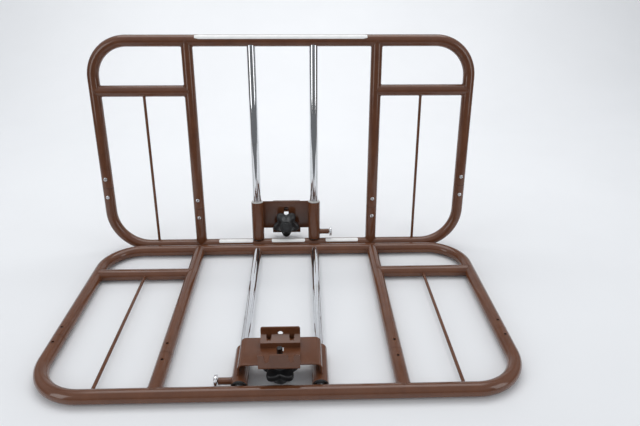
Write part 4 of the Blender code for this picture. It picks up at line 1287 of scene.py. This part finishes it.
def label(level, start, end, first_turn, last_turn):
    """A film patch round a crosswise tube; turns are degrees from straight out to straight up."""
    bm = bmesh.new()
    columns, rows_count, corner = 40, 12, 2.0 * MM
    arc_length = math.radians(last_turn - first_turn) * TUBE_R
    layers = []
    for lift in (0.05 * MM, 0.05 * MM + FILM):
        grid = []
        for i in range(columns + 1):
            t = i / columns
            x = start + (end - start) * t
            inset = max(0.0, corner - min(x - start, end - x)) / corner
            trim = corner * (1 - math.sqrt(max(0.0, 1 - inset**2))) / arc_length
            column = []
            for j in range(rows_count + 1):
                share = trim + (1 - 2 * trim) * j / rows_count
                a = math.radians(first_turn + (last_turn - first_turn) * share)
                r = TUBE_R + lift
                column.append(bm.verts.new((x, level + r * math.sin(a), r * math.cos(a))))
            grid.append(column)
        layers.append(grid)
    under, over = layers
    for grid in layers:
        for i in range(columns):
            for j in range(rows_count):
                bm.faces.new((grid[i][j], grid[i + 1][j], grid[i + 1][j + 1], grid[i][j + 1]))
    rim = [(i, 0) for i in range(columns)] + [(columns, j) for j in range(rows_count)]
    rim += [(i, rows_count) for i in range(columns, 0, -1)] + [(0, j) for j in range(rows_count, 0, -1)]
    for k in range(len(rim)):
        (i, j), (m, n) = rim[k], rim[(k + 1) % len(rim)]
        bm.faces.new((under[i][j], under[m][n], over[m][n], over[i][j]))
    return closed_mesh(bm, film)


patches = [label(TOP_Y, -189 * MM, 186 * MM, 18, 72)]
patches += [label(0.0, start * MM, end * MM, 35, 85) for start, end in ((-165, -82), (-36, 46), (97, 177))]
for patch in patches:
    patch.set_sharp_from_angle(angle=math.radians(50))
place(merge(patches), "blank_labels", "frame", [], weigh=False, only="standing")

# %% [markdown]
# ## Floor, light and camera
# The pair stands on a pale paper sweep in a room that is dim low down and brighter overhead.
# The paper is only as large as it must be, because chrome needs something dark to mirror: its
# black streaks are the room beyond the paper's edges. A large lamp above draws one long
# highlight along every tube, and two tall panels beside the camera put pale bands on the posts.

# %% Floor and backdrop
floor_finish, tree, shader, where, uneven = start_finish(
    "pale_sweep", 60.0, 0.02, {"Roughness": 0.7, "Specular IOR Level": 0.2}, patch_scale=1.3
)
pale = mix_colour(tree, uneven.outputs["Patches"], (0.80, 0.81, 0.825, 1), (0.83, 0.84, 0.855, 1))
tree.links.new(pale, shader.inputs["Base Color"])
profile = [(y, 0.0) for y in (-0.62, -0.3, 0.0, 0.6, 1.2)]
profile += [(1.2 + 1.2 * math.sin(a), 1.2 - 1.2 * math.cos(a)) for a in
            [math.radians(5 * k) for k in range(1, 19)]]
profile += [(2.4, 4.0)]
bm = bmesh.new()
rows = []
for y, z in profile:
    half_width = 0.95 + 0.6 * (y + 0.62)
    rows.append([bm.verts.new((side * half_width, y, z)) for side in (-1, 1)])
for first, second in zip(rows, rows[1:]):
    bm.faces.new((first[0], first[1], second[1], second[0]))
mesh = bpy.data.meshes.new("sweep")
bm.to_mesh(mesh)
bm.free()
mesh.shade_smooth()
mesh.materials.append(floor_finish)
floor = bpy.data.objects.new("floor_sweep", mesh)
bpy.context.scene.collection.objects.link(floor)
print("floor ready")

# %% Lights


def soft_light(name, place_at, aim, width, depth, power, colour=(1, 1, 1)):
    data = bpy.data.lights.new(name, "AREA")
    data.shape, data.size, data.size_y = "RECTANGLE", width, depth
    data.energy, data.color = power, colour
    made = bpy.data.objects.new(name, data)
    made.location = place_at
    made.rotation_euler = (Vector(aim) - Vector(place_at)).to_track_quat("-Z", "Y").to_euler()
    bpy.context.scene.collection.objects.link(made)


soft_light("ceiling_softbox", (0, 0.6, 2.2), (0, 0.1, 0), 2.4, 1.5, 20)
soft_light("backdrop_lamp", (0, 0.9, 2.0), (0, 2.4, 0.9), 2.8, 0.7, 18)
soft_light("left_panel", (-1.5, -1.1, 0.75), (0, 0.1, 0.2), 0.7, 1.3, 7)
soft_light("right_panel", (1.6, -1.0, 0.75), (0, 0.1, 0.2), 0.7, 1.3, 6)
world = bpy.data.worlds.new("dim_room")
world.use_nodes = True
world.node_tree.nodes["Background"].inputs["Color"].default_value = (0.93, 0.96, 1.0, 1)
# The height of a direction in the room sets how bright the room is that way.
DIM, BRIGHT, BRIGHT_FROM = 0.18, 0.62, 0.5
sky = world.node_tree.nodes
direction, split = sky.new("ShaderNodeTexCoord"), sky.new("ShaderNodeSeparateXYZ")
ramp = sky.new("ShaderNodeMapRange")
ramp.inputs["From Min"].default_value, ramp.inputs["From Max"].default_value = 0.0, BRIGHT_FROM
ramp.inputs["To Min"].default_value, ramp.inputs["To Max"].default_value = DIM, BRIGHT
world.node_tree.links.new(direction.outputs["Generated"], split.inputs["Vector"])
world.node_tree.links.new(split.outputs["Z"], ramp.inputs["Value"])
world.node_tree.links.new(ramp.outputs["Result"], sky["Background"].inputs["Strength"])
bpy.context.scene.world = world
bpy.context.scene.view_settings.view_transform = "Standard"
print("lights ready")

# %% Camera
YAW, PITCH, ROLL = 0.03334, 0.45160, 0.003912
LENS, SENSOR = 31.45, 36.0
camera_place = Vector((0.0423, foot_y - 0.70572, 0.6875))
ahead = Vector((math.sin(YAW) * math.cos(PITCH), math.cos(YAW) * math.cos(PITCH), -math.sin(PITCH)))
level = Vector((math.cos(YAW), -math.sin(YAW), 0))
above = level.cross(ahead)
right = level * math.cos(ROLL) + above * math.sin(ROLL)
up = above * math.cos(ROLL) - level * math.sin(ROLL)
camera_data = bpy.data.cameras.new("camera")
camera_data.lens, camera_data.sensor_width = LENS, SENSOR
camera = bpy.data.objects.new("camera", camera_data)
turn = Matrix((right, up, -ahead)).transposed().to_4x4()
camera.matrix_world = Matrix.Translation(camera_place) @ turn
bpy.context.scene.collection.objects.link(camera)
bpy.context.scene.camera = camera
print("camera at", camera_place)

# %% Tidy up and finish
for tool in cutters:
    bpy.data.objects.remove(tool)
print("triangles in all pieces:", made_triangles)
